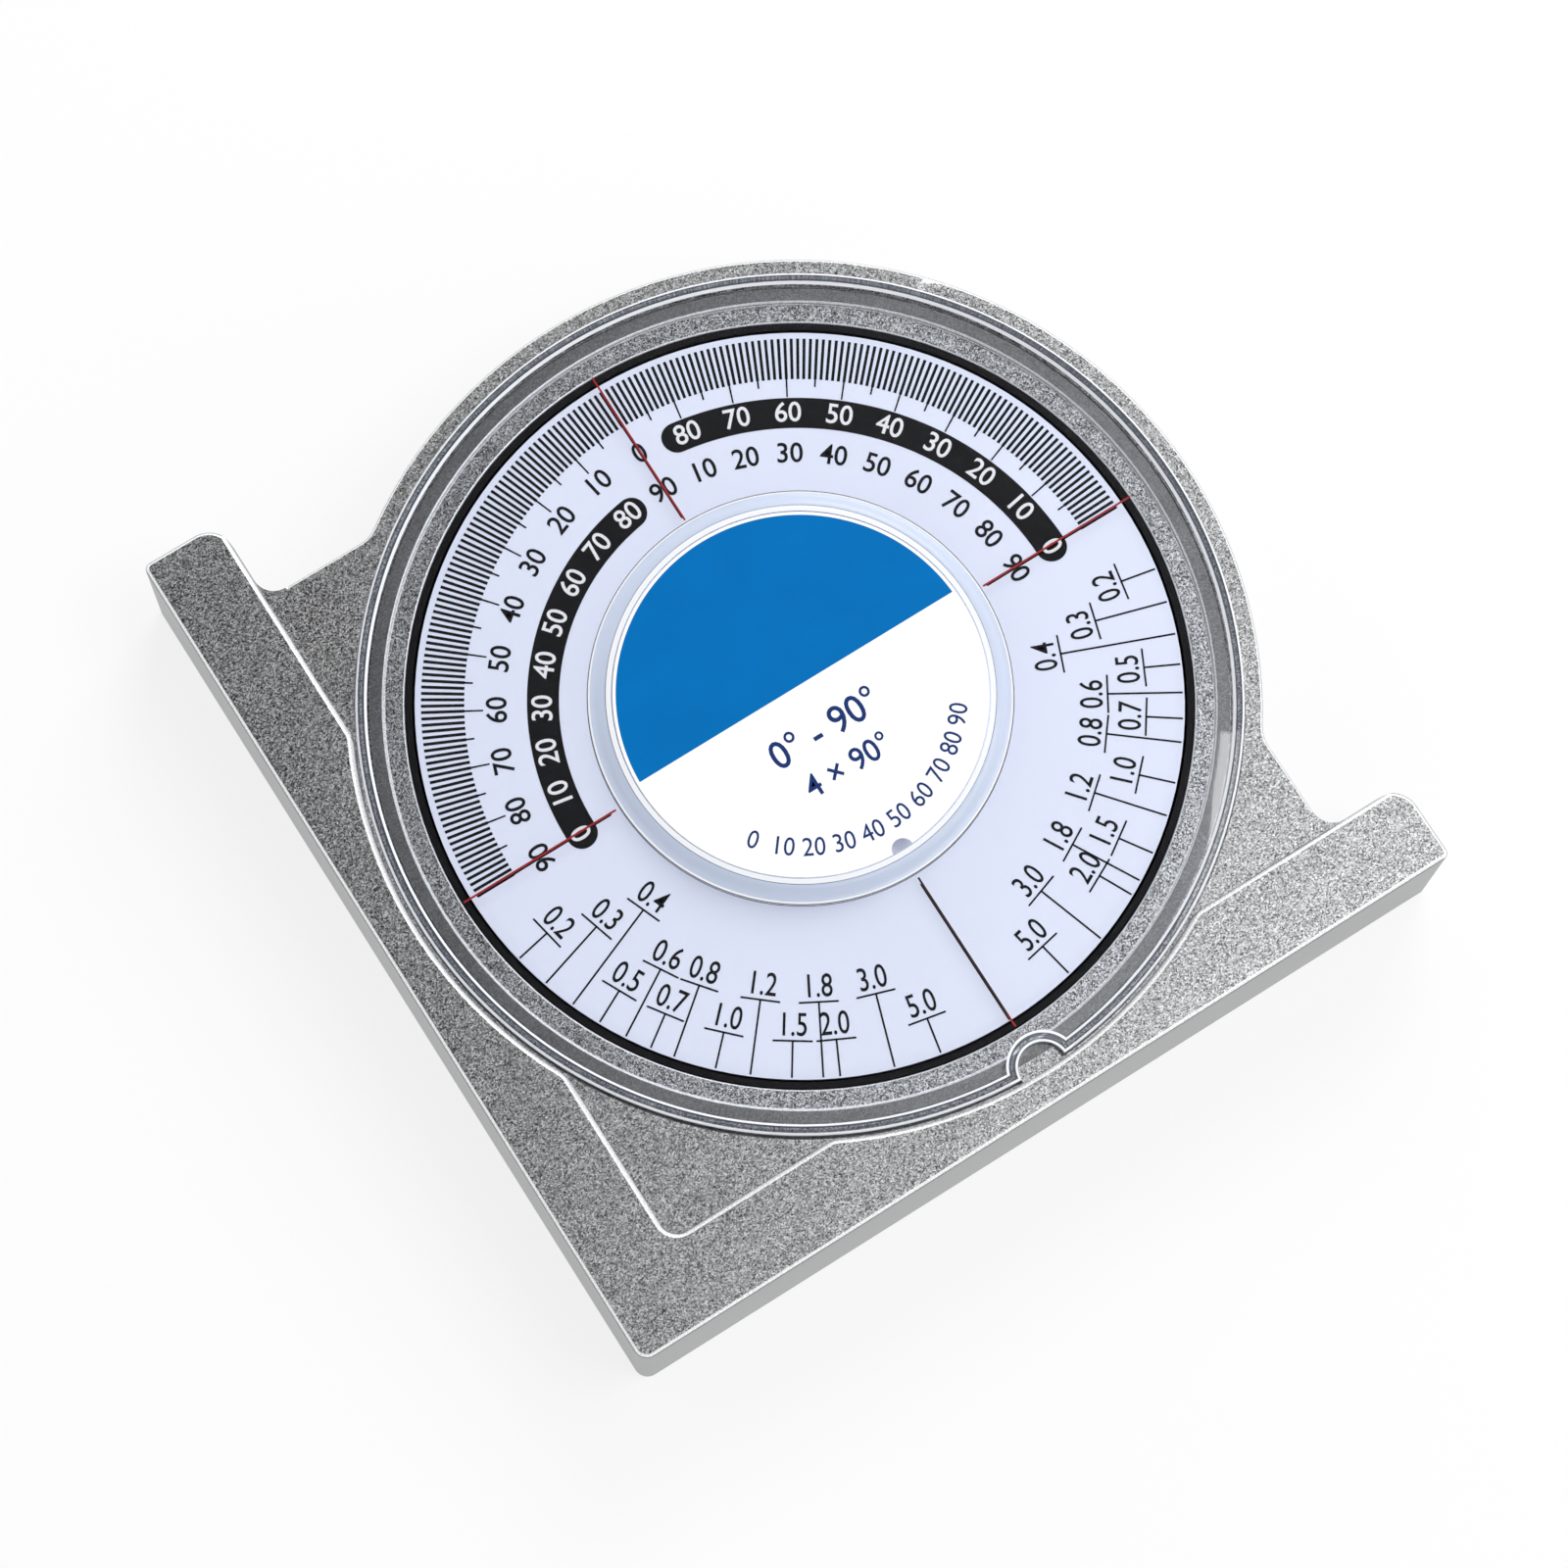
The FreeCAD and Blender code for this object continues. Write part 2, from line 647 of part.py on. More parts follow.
def make_back_cover():
    """The plate that closes the back, flush with the rim, with countersunk screw holes."""
    body = new_body("back_cover")
    inset = s["rim_wall"] + s["cover_fit"]
    add(body, "plate", lambda sk: outline(sk, body_path(inset)), as_size(0), cover_top)
    sketch = new_sketch(body, "screw_places", "XY_Plane")
    for x, y in cover_screw_places:
        circle(sketch, x, y, s["cover_screw_radius"])
    before = body.Shape.Volume
    hole = body.newObject("PartDesign::Hole", "screw_holes")
    hole.Profile = sketch
    doc.recompute()
    hole.Reversed = True
    hole.DepthType = "ThroughAll"
    hole.ThreadType = "None"
    hole.HoleCutType = "Countersink"
    hole.HoleCutCountersinkAngle = 90
    bind(hole, "Diameter", 2 * (s["cover_screw_radius"] + s["screw_play"]))
    bind(hole, "HoleCutDiameter", 2 * (s["cover_head_radius"] + s["head_sink"]))
    doc.recompute()
    if body.Shape.Volume > before - SMALL:
        raise RuntimeError("the cover has no screw holes")
    return keep(body)


def cross_drive(body, low, high, span):
    """A cross-shaped recess in the head of a screw."""
    def cross(sketch):
        wide = s["drive_width"] / 2
        outline(sketch, [
            (wide, -wide), (span, -wide), (span, wide), (wide, wide), (wide, span), (-wide, span),
            (-wide, wide), (-span, wide), (-span, -wide), (-wide, -wide), (-wide, -span),
            (wide, -span)])
    cut(body, "drive", cross, low, high)


def make_cover_screws():
    master = new_body("cover_screw")
    radius, head = s["cover_screw_radius"], s["cover_head_radius"]
    low = s["head_sink"]
    tip = low + s["cover_screw_length"]
    spin(master, "shape", [
        (0, low), (head, low), (radius, low + head - radius),
        (radius, tip - radius / 2), (radius / 2, tip), (0, tip)])
    cross_drive(master, low, low + s["drive_depth"], head * DRIVE_REACH)
    copies("cover_screws", master, cover_screw_places)


def make_pan_screw(label, master_name, seat, length, places):
    """Screws with a round flat head under the seat and their tip above it."""
    master = new_body(master_name)
    radius, head, height = s["tray_screw_radius"], s["tray_head_radius"], s["tray_head_height"]
    low, tip = seat - height, seat + length
    spin(master, "shape", [
        (0, low), (head * PAN_TOP, low), (head, low + height * PAN_EDGE), (head, seat), (radius, seat),
        (radius, tip - radius / 2), (radius / 2, tip), (0, tip)])
    cross_drive(master, low, low + s["drive_depth"], head * DRIVE_REACH)
    copies(label, master, places)


def make_lens():
    """The clear cover: skirt in the groove, raised rim, centre boss, notch and reading lines."""
    body = new_body("lens")
    rim, slope = lens_radius, s["rim_bevel"]
    recess = s["label_radius"] + s["label_fit"]
    hole_top = plate_bottom + s["front_bush_length"] + s["tip_gap"]
    spin(body, "shape", [
        (bush_radius, plate_bottom), (skirt_inner, plate_bottom), (skirt_inner, groove_floor),
        (rim, groove_floor), (rim, rim_top - slope), (rim - slope, rim_top),
        (skirt_inner + slope, rim_top), (skirt_inner, plate_top),
        (boss_foot, plate_top), (boss_radius, boss_top),
        (recess, boss_top), (recess, label_seat), (0, label_seat),
        (0, hole_top), (bush_radius, hole_top)])
    add(body, "notch_wall", lambda sk: outline(sk, notch_wall_path()), plate_bottom, rim_top)
    centre = -lens_radius
    notch = lambda sk: circle(sk, 0, centre, s["notch_radius"])
    cut(body, "notch", notch, groove_floor, rim_top)
    line = cut(body, "line_groove", line_plan, plate_bottom, plate_bottom + s["line_depth"])
    ring = body.newObject("PartDesign::PolarPattern", "line_grooves")
    ring.Originals = [line]
    ring.Axis = (line.Profile[0], ["N_Axis"])
    ring.Angle = 360
    ring.Occurrences = 4
    body.Tip = ring
    doc.recompute()
    return keep(body)


def notch_wall_path():
    """The wall round the notch, cut off at the edge of the lens."""
    rim, wall = lens_radius, s["notch_radius"] + s["lens_skirt"]
    level = rim - wall * wall / (2 * rim)
    half = root(rim * rim - level * level)
    return [(-half, -level, 0, 0, -1), (half, -level, 0, -rim, -1)]


def line_plan(sketch):
    """One reading line, along X."""
    half = s["line_width"] / 2
    rectangle(sketch, boss_foot + s["line_start_gap"], -half, well_radius - s["line_end_gap"], half)


def make_index_lines():
    """The red filling of the four reading lines."""
    master = new_body("index_line")
    add(master, "line", line_plan, plate_bottom, plate_bottom + s["line_depth"])
    links = []
    for number in range(4):
        link = doc.addObject("App::Link", f"index_lines_{number + 1}")
        link.LinkedObject = master
        link.Placement.Rotation = FreeCAD.Rotation(FreeCAD.Vector(0, 0, 1), 90 * number)
        links.append(link)
    group = doc.addObject("Part::Compound", "index_lines")
    group.Label = "index_lines"
    group.Links = links
    doc.recompute()
    return keep(group)


def make_centre_label():
    """The printed disc in the recess of the boss, with a small notch at its lower edge."""
    body = new_body("centre_label")
    add(body, "disc", lambda sk: circle(sk, 0, 0, s["label_radius"]), label_seat, boss_top)
    notch = lambda sk: circle(sk, 0, -s["label_radius"], s["label_notch"])
    cut(body, "notch", notch, label_seat, boss_top)
    return keep(body)


def make_bearings():
    front = new_body("front_bearing")
    high = plate_bottom + s["front_bush_length"]
    spin(front, "shape", [
        (bush_hole, plate_bottom), (bush_radius, plate_bottom),
        (bush_radius, high), (bush_hole, high)])
    keep(front)
    rear = new_body("rear_bearing")
    high = bearing_top + s["flange_height"]
    spin(rear, "shape", [
        (bush_hole, bush_bottom), (bush_radius, bush_bottom),
        (bush_radius, bearing_top), (bush_radius + s["bush_flange"], bearing_top),
        (bush_radius + s["bush_flange"], high), (bush_hole, high)])
    keep(rear)


def make_washers():
    """The thrust washers, one on each end of the hub."""
    for label, low in (("front_thrust_washer", hub_top),
                       ("rear_thrust_washer", hub_bottom - s["washer_thickness"])):
        body = new_body(label)
        high = low + s["washer_thickness"]
        spin(body, "shape", [
            (s["shaft_radius"], low), (s["shaft_radius"] + s["washer_width"], low),
            (s["shaft_radius"] + s["washer_width"], high), (s["shaft_radius"], high)])
        keep(body)


def make_pivot_shaft():
    body = new_body("pivot_shaft")
    radius = s["shaft_radius"]
    low = bush_bottom + s["tip_gap"]
    high = plate_bottom + s["front_bush_length"]
    nose = radius / 3
    spin(body, "shape", [
        (0, low), (radius - nose, low), (radius, low + nose),
        (radius, high - nose), (radius - nose, high), (0, high)])
    return keep(body)


def make_dial_card():
    body = new_body("dial_card")

    def disc(sketch):
        circle(sketch, 0, 0, s["dial_radius"])
        circle(sketch, 0, 0, s["hub_radius"] + s["hub_fit"])
    add(body, "disc", disc, card_bottom, card_top)
    return keep(body)


def make_dial_carrier():
    """The wheel under the card: hub, web with three windows, rim, and two screw bosses."""
    body = new_body("dial_carrier")
    outer, inner = carrier_outer, carrier_inner
    rim_bottom = card_bottom - s["carrier_rim_depth"]
    spin(body, "shape", [
        (s["shaft_radius"], hub_bottom), (s["hub_radius"], hub_bottom),
        (s["hub_radius"], carrier_bottom), (inner, carrier_bottom), (inner, rim_bottom),
        (outer, rim_bottom), (outer, card_bottom), (s["hub_radius"], card_bottom),
        (s["hub_radius"], hub_top), (s["shaft_radius"], hub_top)])

    def windows(sketch):
        for angle in WINDOW_ANGLES:
            circle(sketch, *on_circle(window_circle, angle), s["window_radius"])

    def bosses(sketch):
        for x, y in weight_screw_places:
            circle(sketch, x, y, s["weight_boss"])

    def holes(sketch):
        for x, y in weight_screw_places:
            circle(sketch, x, y, s["tray_screw_radius"])
    cut(body, "windows", windows, carrier_bottom, card_bottom)
    boss_bottom = carrier_bottom - s["weight_thickness"] / 2
    add(body, "bosses", bosses, boss_bottom, carrier_bottom)
    cut(body, "holes", holes, boss_bottom, card_bottom)
    return keep(body)


def make_counterweight():
    """The metal segment under the lower half of the dial."""
    body = new_body("counterweight")
    inner, outer = weight_inner, weight_outer
    first, last = DOWN - WEIGHT_HALF_ANGLE, DOWN + WEIGHT_HALF_ANGLE

    def sector(sketch):
        outline(sketch, [
            on_circle(outer, first), (*on_circle(outer, last), 0, 0, 1),
            on_circle(inner, last), (*on_circle(inner, first), 0, 0, -1)])

    def sockets(sketch):
        for x, y in weight_screw_places:
            circle(sketch, x, y, s["weight_boss"] + s["weight_fit"])

    def holes(sketch):
        for x, y in weight_screw_places:
            circle(sketch, x, y, s["tray_screw_radius"] + s["screw_play"])
    add(body, "sector", sector, weight_bottom, carrier_bottom)
    boss_bottom = carrier_bottom - s["weight_thickness"] / 2
    cut(body, "sockets", sockets, boss_bottom, carrier_bottom)
    cut(body, "holes", holes, weight_bottom, carrier_bottom)
    return keep(body)


def make_dial_tray():
    """The black dish: floor with the bearing boss, wall, flange with three ears, and the rim that
    shows round the card."""
    body = new_body("dial_tray")
    boss = bush_radius + s["bearing_boss_wall"]
    rim_level = ledge_top - s["tray_fit"]
    spin(body, "shape", [
        (0, tray_bottom), (tray_outer, tray_bottom), (tray_outer, flange_bottom),
        (flange_outer, flange_bottom), (flange_outer, flange_top), (tray_rim_outer, flange_top),
        (tray_rim_outer, rim_level), (tray_inner, rim_level), (tray_inner, tray_inside),
        (boss, tray_inside), (boss, bearing_top), (bush_radius, bearing_top),
        (bush_radius, bush_bottom), (0, bush_bottom)])
    for number, (place, angle) in enumerate(zip(ear_places, EAR_ANGLES), start=1):
        path = ear_path(place, angle)
        draw = lambda sk: outline(sk, path)
        add(body, f"ear_{number}", draw, flange_bottom, flange_top)

    def holes(sketch):
        for x, y in ear_places:
            circle(sketch, x, y, s["tray_screw_radius"] + s["screw_play"])
    cut(body, "ear_holes", holes, flange_bottom, flange_top)
    return keep(body)


def ear_path(place, angle):
    """An ear: a strip from the wall of the tray outwards, with a round end at its screw."""
    x, y = place
    along = round(math.cos(angle), 12), round(math.sin(angle), 12)
    half = s["ear_radius"]
    root_x, root_y = on_circle(tray_inner + s["tray_wall"] / 2, angle)
    side_x, side_y = half * -along[1], half * along[0]
    return [
        (root_x - side_x, root_y - side_y), (x - side_x, y - side_y),
        (x + side_x, y + side_y, x, y, 1), (root_x + side_x, root_y + side_y)]


def make_tray_gasket():
    body = new_body("tray_gasket")
    inset = s["gasket_inset"]

    def ring(sketch):
        circle(sketch, 0, 0, flange_outer - inset)
        circle(sketch, 0, 0, tray_rim_outer + inset)
    add(body, "ring", ring, flange_top, ceiling)
    return keep(body)


def make_magnets():
    """The bar magnets behind each magnetic face, and the steel strip behind them."""
    for name, (offset, to_plan) in magnet_rows().items():
        face = offset - s["magnet_wall"]
        group = []
        for number, side in enumerate((-0.5, 0.5), start=1):
            corners = bar_corners(
                to_plan, side * magnet_spacing, s["magnet_length"], face, s["magnet_thickness"])
            group.append(make_bar(f"{name}_magnet_{number}", corners))
        magnets = doc.addObject("Part::Compound", f"{name}_magnets")
        magnets.Label = f"{name}_magnets"
        magnets.Links = group
        keep(magnets)
        length = magnet_spacing + s["magnet_length"]
        back = face - s["magnet_thickness"]
        corners = bar_corners(to_plan, as_size(0), length, back, s["strip_thickness"])
        keep(make_bar(f"{name}_backing_strip", corners))
    doc.recompute()


def make_bar(name, corners):
    low_x, low_y, high_x, high_y = corners
    bar = doc.addObject("Part::Box", name)
    bar.Label = name
    bind(bar, "Length", high_x - low_x)
    bind(bar, "Width", high_y - low_y)
    bind(bar, "Height", magnet_top - magnet_bottom)
    bind(bar, ".Placement.Base.x", low_x)
    bind(bar, ".Placement.Base.y", low_y)
    bind(bar, ".Placement.Base.z", magnet_bottom)
    return bar


def check_and_write():
    """Stops on any failed object or bad shape, and writes each sub-part to its own file."""
    doc.recompute()
    for item in doc.Objects:
        bad = [state for state in item.State if state in ("Invalid", "Error")]
        if bad:
            raise RuntimeError(f"{item.Label} is {bad}")
    os.makedirs("parts", exist_ok=True)
    for item in parts:
        if item.Shape.isNull() or not item.Shape.isValid():
            raise RuntimeError(f"{item.Label} has a bad shape")
    for item in parts:
        item.Shape.exportStep(f"parts/{item.Label}.step")
        print(f"{item.Label}: {len(item.Shape.Solids)} solids, {item.Shape.Volume:.1f} mm3")


make_front_housing()
make_back_cover()
make_cover_screws()
make_dial_tray()
make_pan_screw("tray_screws", "tray_screw", flange_bottom, tray_screw_length, ear_places)
make_tray_gasket()
make_lens()
make_index_lines()
make_centre_label()
make_bearings()
make_magnets()
make_dial_card()
make_dial_carrier()
make_counterweight()
make_pan_screw("counterweight_screws", "weight_screw", weight_bottom, weight_screw_length,
               weight_screw_places)
make_pivot_shaft()
make_washers()
check_and_write()
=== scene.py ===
"""Dial angle finder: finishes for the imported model, and the printed dial, label and studio.

Metres throughout. X runs along the base leg, Y along the side leg, and Z out of the dial.
"""

import math

import bpy
from bpy.props import FloatProperty, FloatVectorProperty, PointerProperty
from bpy.types import Operator, Panel, PropertyGroup
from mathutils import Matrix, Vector


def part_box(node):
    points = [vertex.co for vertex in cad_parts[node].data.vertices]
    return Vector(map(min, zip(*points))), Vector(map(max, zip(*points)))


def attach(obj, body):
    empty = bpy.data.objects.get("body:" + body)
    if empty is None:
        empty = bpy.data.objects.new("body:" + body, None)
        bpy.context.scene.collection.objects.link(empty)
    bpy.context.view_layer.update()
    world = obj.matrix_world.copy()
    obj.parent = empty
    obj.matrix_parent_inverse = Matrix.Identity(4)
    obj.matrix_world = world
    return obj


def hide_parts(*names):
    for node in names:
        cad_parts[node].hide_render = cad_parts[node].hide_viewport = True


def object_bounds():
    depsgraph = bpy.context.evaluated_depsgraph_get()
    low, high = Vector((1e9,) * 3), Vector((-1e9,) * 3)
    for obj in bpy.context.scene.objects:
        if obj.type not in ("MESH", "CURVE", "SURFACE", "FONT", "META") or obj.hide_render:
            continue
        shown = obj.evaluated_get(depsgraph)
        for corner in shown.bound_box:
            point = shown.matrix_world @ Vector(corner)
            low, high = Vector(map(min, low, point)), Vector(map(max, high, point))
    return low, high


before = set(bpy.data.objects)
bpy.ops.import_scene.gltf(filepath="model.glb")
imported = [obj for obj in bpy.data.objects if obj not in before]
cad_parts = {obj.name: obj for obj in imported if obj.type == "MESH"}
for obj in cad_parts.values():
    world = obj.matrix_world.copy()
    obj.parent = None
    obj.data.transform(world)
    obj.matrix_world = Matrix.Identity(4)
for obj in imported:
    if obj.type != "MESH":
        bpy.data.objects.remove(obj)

bl_info = {
    "name": "Dial Angle Finder",
    "version": (1, 0, 0),
    "blender": (4, 5, 0),
    "location": "View3D > Sidebar > Angle Finder",
    "description": "Finishes, dial print and studio for a magnetic dial angle finder",
    "category": "Object",
}

CAD_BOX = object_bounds()
MM = 0.001
WHITE = (1.0, 1.0, 1.0)

# Front faces and outer radii of the dial card and the centre label
CARD_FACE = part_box("dial_card")[1].z
CARD_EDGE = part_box("dial_card")[1].x
LABEL_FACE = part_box("centre_label")[1].z
LABEL_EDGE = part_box("centre_label")[1].x

# The lens: front of its plate, its outer wall, the notch at its foot, and the boss with its slope
LENS_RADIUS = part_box("lens")[1].x
LENS_PLATE = 17.3 * MM
LENS_WALL = 1.3 * MM
NOTCH_RADIUS = 2.8 * MM
BOSS_RADIUS = 21.7 * MM
BOSS_FOOT = 23.7 * MM

# Painted highlight lines and painted dark lines on the lens: radius, or distance from the edge of
# the wall, and width
INNER_LIGHT, INNER_DARK = (0.15 * MM, 0.3 * MM), (0.42 * MM, 0.16 * MM)
OUTER_LIGHT, OUTER_DARK = (0.14 * MM, 0.26 * MM), (0.4 * MM, 0.16 * MM)
FOOT_LIGHT, FOOT_DARK = (BOSS_FOOT, 0.5 * MM), (BOSS_FOOT, 0.12 * MM)
BOSS_LIGHT, BOSS_DARK = (BOSS_RADIUS - 0.35 * MM, 0.6 * MM), (BOSS_RADIUS, 0.08 * MM)
LINE_SIDE = 0.05 * MM

# How far a face of the casting looks up, as level and width of a soft step: tops and bevels
TOP_STEP = (0.985, 0.015)
BEVEL_STEP = (0.27, 0.06)

# How high a direction of the light tent is, as level and width of a soft step
OVERHEAD_STEP = (0.724, 0.469)
LOW_STEP = (0.3, 0.2)

# Stretch of the tool marks on bare metal
ROUND_THE_AXIS = (1.0, 1.0, 0.02)
ALONG_THE_PART = (0.05, 1.0, 1.0)
ACROSS_THE_SHAFT = (0.02, 0.02, 1.0)
EVEN = (1.0, 1.0, 1.0)

# Ends of the two black bands in degrees, from the X axis
OUTER_BAND_ENDS = (-3, 85.2)
INNER_BAND_ENDS = (95.5, 183.6)

# The round end of a band: its share of half the width, and its steps
ROUND_END = 0.98
ROUND_STEPS = 8
SMALL = 1e-6

DOWN = math.radians(-90)
SOFT_ANGLE = 50
SLOPES = {
    "slope_outer": ("0.2", "0.5", "0.7", "1.0", "1.5", "2.0", "5.0"),
    "slope_middle": ("0.3", "0.6", "0.8", "1.2", "1.8", "3.0"),
    "slope_inner": ("0.4",),
}


def length(name, value, description):
    return FloatProperty(name=name, description=description, default=value, unit="LENGTH",
                         precision=5, min=0)


def factor(name, value, description):
    return FloatProperty(name=name, description=description, default=value, subtype="FACTOR",
                         min=0.3, max=2)


def turn(name, degrees, description):
    return FloatProperty(name=name, description=description, default=math.radians(degrees),
                         subtype="ANGLE")


def colour(name, value, description):
    return FloatVectorProperty(name=name, description=description, default=value, size=3,
                               subtype="COLOR", min=0, max=1)


def spot(name, value, description):
    return FloatVectorProperty(name=name, description=description, default=value, size=3,
                               unit="LENGTH")


def power(name, value, description):
    return FloatProperty(name=name, description=description, default=value, unit="POWER", min=0)


def brightness(name, value, description):
    return FloatProperty(name=name, description=description, default=value, min=0)


class DialPrintSettings(PropertyGroup):
    """The black scales on the card."""

    ink: length("Ink", 0.03 * MM, "Thickness of the printed ink")
    tick_outer: length("Tick outer end", 42.2 * MM, "Radius where the degree ticks start")
    tick_short: length("One degree", 37.4 * MM, "Inner end of the one degree ticks")
    tick_middle: length("Five degrees", 36.5 * MM, "Inner end of the five degree ticks")
    tick_long: length("Ten degrees", 35.3 * MM, "Inner end of the ten degree ticks")
    zero_start: length("Zero line start", 24.8 * MM, "Inner end of the lines at 0 and 90")
    tick_width: length("Tick width", 0.34 * MM, "Width of the degree ticks")
    middle_width: length("Five degree width", 0.20 * MM, "Width of the ends of these ticks")
    long_width: length("Ten degree width", 0.18 * MM, "Width of the ends of these ticks")
    zero_width: length("Zero line width", 0.16 * MM, "Width of the lines at 0 and 90")
    digit_height: length("Digit height", 2.3 * MM, "Height of the degree numbers")
    narrow: factor("Narrow", 0.95, "Width of the digits against their height")
    weight: length("Weight", 0.03 * MM, "Thickening of the degree numbers")
    outer_row: length("Outer row", 33.7 * MM, "Radius of the outer row of numbers")
    inner_row: length("Inner row", 28.6 * MM, "Radius of the inner row of numbers")
    outer_band: length("Outer band", 33.4 * MM, "Radius of the outer black band")
    inner_band: length("Inner band", 28.65 * MM, "Radius of the inner black band")
    band_width: length("Band width", 3.55 * MM, "Width of the black bands")
    slope_outer: length("Outer slopes", 36.9 * MM, "Radius of the outer slope numbers")
    slope_middle: length("Middle slopes", 32.6 * MM, "Radius of the middle slope numbers")
    slope_inner: length("Inner slopes", 27.9 * MM, "Radius of the inner slope numbers")
    slope_height: length("Slope digits", 2.6 * MM, "Height of the slope numbers")
    slope_narrow: factor("Narrow slopes", 0.78, "Width of the slope digits against the others")
    slope_gap: length("Slope gap", 1.7 * MM, "From the middle of a slope number to its bar")
    slope_bar: length("Slope bar", 4.4 * MM, "Length of the bar over a slope number")
    slope_line: length("Slope line", 0.21 * MM, "Width of the lines of the slope scale")
    slope_end: length("Slope line end", 42.7 * MM, "Outer end of the lines of the slope scale")
    down_margin: length("Lower margin", 0.1 * MM, "From the end of the lower line to the edge")


class LabelSettings(PropertyGroup):
    """The print on the centre label."""

    border: length("Border", 0.35 * MM, "White border round the print")
    split: length("Split", 0.86 * MM, "Lower edge of the blue half, above the centre")
    ink: length("Ink", 0.02 * MM, "Thickness of the printed ink")
    arc: length("Arc", 17.6 * MM, "Radius of the figures along the lower edge")
    arc_span: turn("Arc span", 100, "Angle from the first to the last of these figures")
    arc_height: length("Arc figures", 2.08 * MM, "Height of these figures")
    arc_narrow: factor("Narrow arc", 0.9, "Width of these figures against their height")
    large_row: length("Large row", 4.9 * MM, "Row of the large figures, below the centre")
    large: length("Large figures", 3.2 * MM, "Height of the first row of figures")
    small_row: length("Small row", 9.8 * MM, "Row of the small figures, below the centre")
    small: length("Small figures", 2.6 * MM, "Height of the second row of figures")
    narrow: factor("Narrow", 0.95, "Width of the figures in the rows against their height")
    weight: length("Weight", 0.03 * MM, "Thickening of the figures in the rows")
    blue: colour("Blue", (0.0, 0.165, 0.50), "Blue half of the label")
    white: colour("White", (0.96, 0.965, 0.975), "White half of the label")
    navy: colour("Navy", (0.01, 0.035, 0.16), "Figures on the label")


class FinishSettings(PropertyGroup):
    """Colours of the finishes."""

    silver: colour("Silver", (0.355, 0.36, 0.365), "Metal paint of the casting")
    grain: length("Grain", 0.14 * MM, "Size of the sand grain of the casting")
    ledge_edge: length("Ledge edge", 46.3 * MM, "Radius of the step under the lens")
    groove_edge: length("Groove edge", 47.9 * MM, "Inner radius of the groove of the lens")
    card: colour("Card", (0.785, 0.82, 0.955), "Face of the dial card")
    black: colour("Black", (0.008, 0.008, 0.009), "Black printing ink and dial tray")
    paper: colour("White ink", (0.9, 0.9, 0.92), "Numbers on the black bands")
    red: colour("Red", (0.40, 0.01, 0.015), "Reading lines")
    shade: colour("Dark red", (0.015, 0.008, 0.01), "Dark part of the lower reading line")
    glass: colour("Lens", (0.965, 0.975, 1.0), "Clear plastic of the lens")
    plate: colour("Back cover", (0.045, 0.045, 0.05), "Plastic of the back cover")
    rubber: colour("Rubber", (0.03, 0.03, 0.03), "Gasket of the tray")
    carrier: colour("Carrier", (0.75, 0.75, 0.76), "Plastic of the dial carrier")
    washer: colour("Washer", (0.85, 0.85, 0.82), "Plastic of the thrust washers")
    screw: colour("Screw", (0.58, 0.58, 0.60), "Steel of the screws")
    brass: colour("Brass", (0.72, 0.53, 0.24), "Brass of the bushes")
    magnet: colour("Magnet", (0.14, 0.14, 0.145), "Bar magnets")
    strip: colour("Strip", (0.5, 0.5, 0.52), "Steel of the strips behind the magnets")
    ballast: colour("Weight", (0.45, 0.45, 0.46), "Steel of the counterweight")
    shaft: colour("Shaft", (0.62, 0.62, 0.64), "Steel of the pivot shaft")


class StudioSettings(PropertyGroup):
    """Camera, lamps and floor."""

    eye: spot("Eye", (-84.533 * MM, -106.705 * MM, 548.187 * MM), "Place of the camera")
    tilt: turn("Tilt", 13.4395, "Camera turned about X")
    lean: turn("Lean", -1.3324, "Camera turned about Y")
    swing: turn("Swing", -32.3924, "Camera turned about Z")
    lens: FloatProperty(name="Lens", description="Focal length in millimetres on a 36 mm sensor",
                        default=113.299, min=1)
    rise: FloatProperty(name="Rise", description="Vertical shift of the camera", default=-0.0089)
    key_place: spot("Main lamp", (0.209, -0.176, 0.644), "Place of the main lamp")
    key: power("Main light", 1.85, "Power of the main lamp")
    fill_place: spot("Second lamp", (0.427, 0.358, 0.502), "Place of the second lamp")
    fill: power("Second light", 2.40, "Power of the second lamp")
    spread: length("Lamp size", 0.37, "Side of the lamps")
    around: brightness("Light around", 0.81, "Brightness of the tent at the sides")
    low: brightness("Light below", 0.6, "What the tent adds near the floor")
    above: brightness("Light above", 0.0, "Brightness of the tent overhead")
    floor: length("Floor", 6.0, "Side of the floor")
    gap: length("Floor gap", 0.05 * MM, "Distance of the floor from the back of the part")
    paper: colour("Floor colour", (0.93, 0.93, 0.93), "Paper of the floor")


def deselect():
    bpy.ops.object.select_all(action="DESELECT")


def pick(*pieces):
    """Selects these objects alone. The first is the active one."""
    deselect()
    for piece in pieces:
        piece.select_set(True)
    bpy.context.view_layer.objects.active = pieces[0]


def named(name):
    """Names the object that was made last."""
    piece = bpy.context.object
    piece.name = piece.data.name = name
    return piece


def settle(piece):
    """Puts the place of a piece into its mesh."""
    pick(piece)
    bpy.ops.object.transform_apply(location=True, rotation=True, scale=True)
    return piece


def join(name, pieces):
    """One mesh from several."""
    pick(*pieces)
    if len(pieces) > 1:
        bpy.ops.object.join()
    return named(name)


def edit(piece, select="SELECT"):
    """Opens a mesh with all of it selected, or none of it."""
    pick(piece)
    bpy.ops.object.mode_set(mode="EDIT")
    bpy.ops.mesh.select_all(action=select)


def leave():
    bpy.ops.object.mode_set(mode="OBJECT")


def outwards(piece):
    """Turns the faces of a closed mesh outwards."""
    edit(piece)
    bpy.ops.mesh.normals_make_consistent(inside=False)
    leave()
    return piece


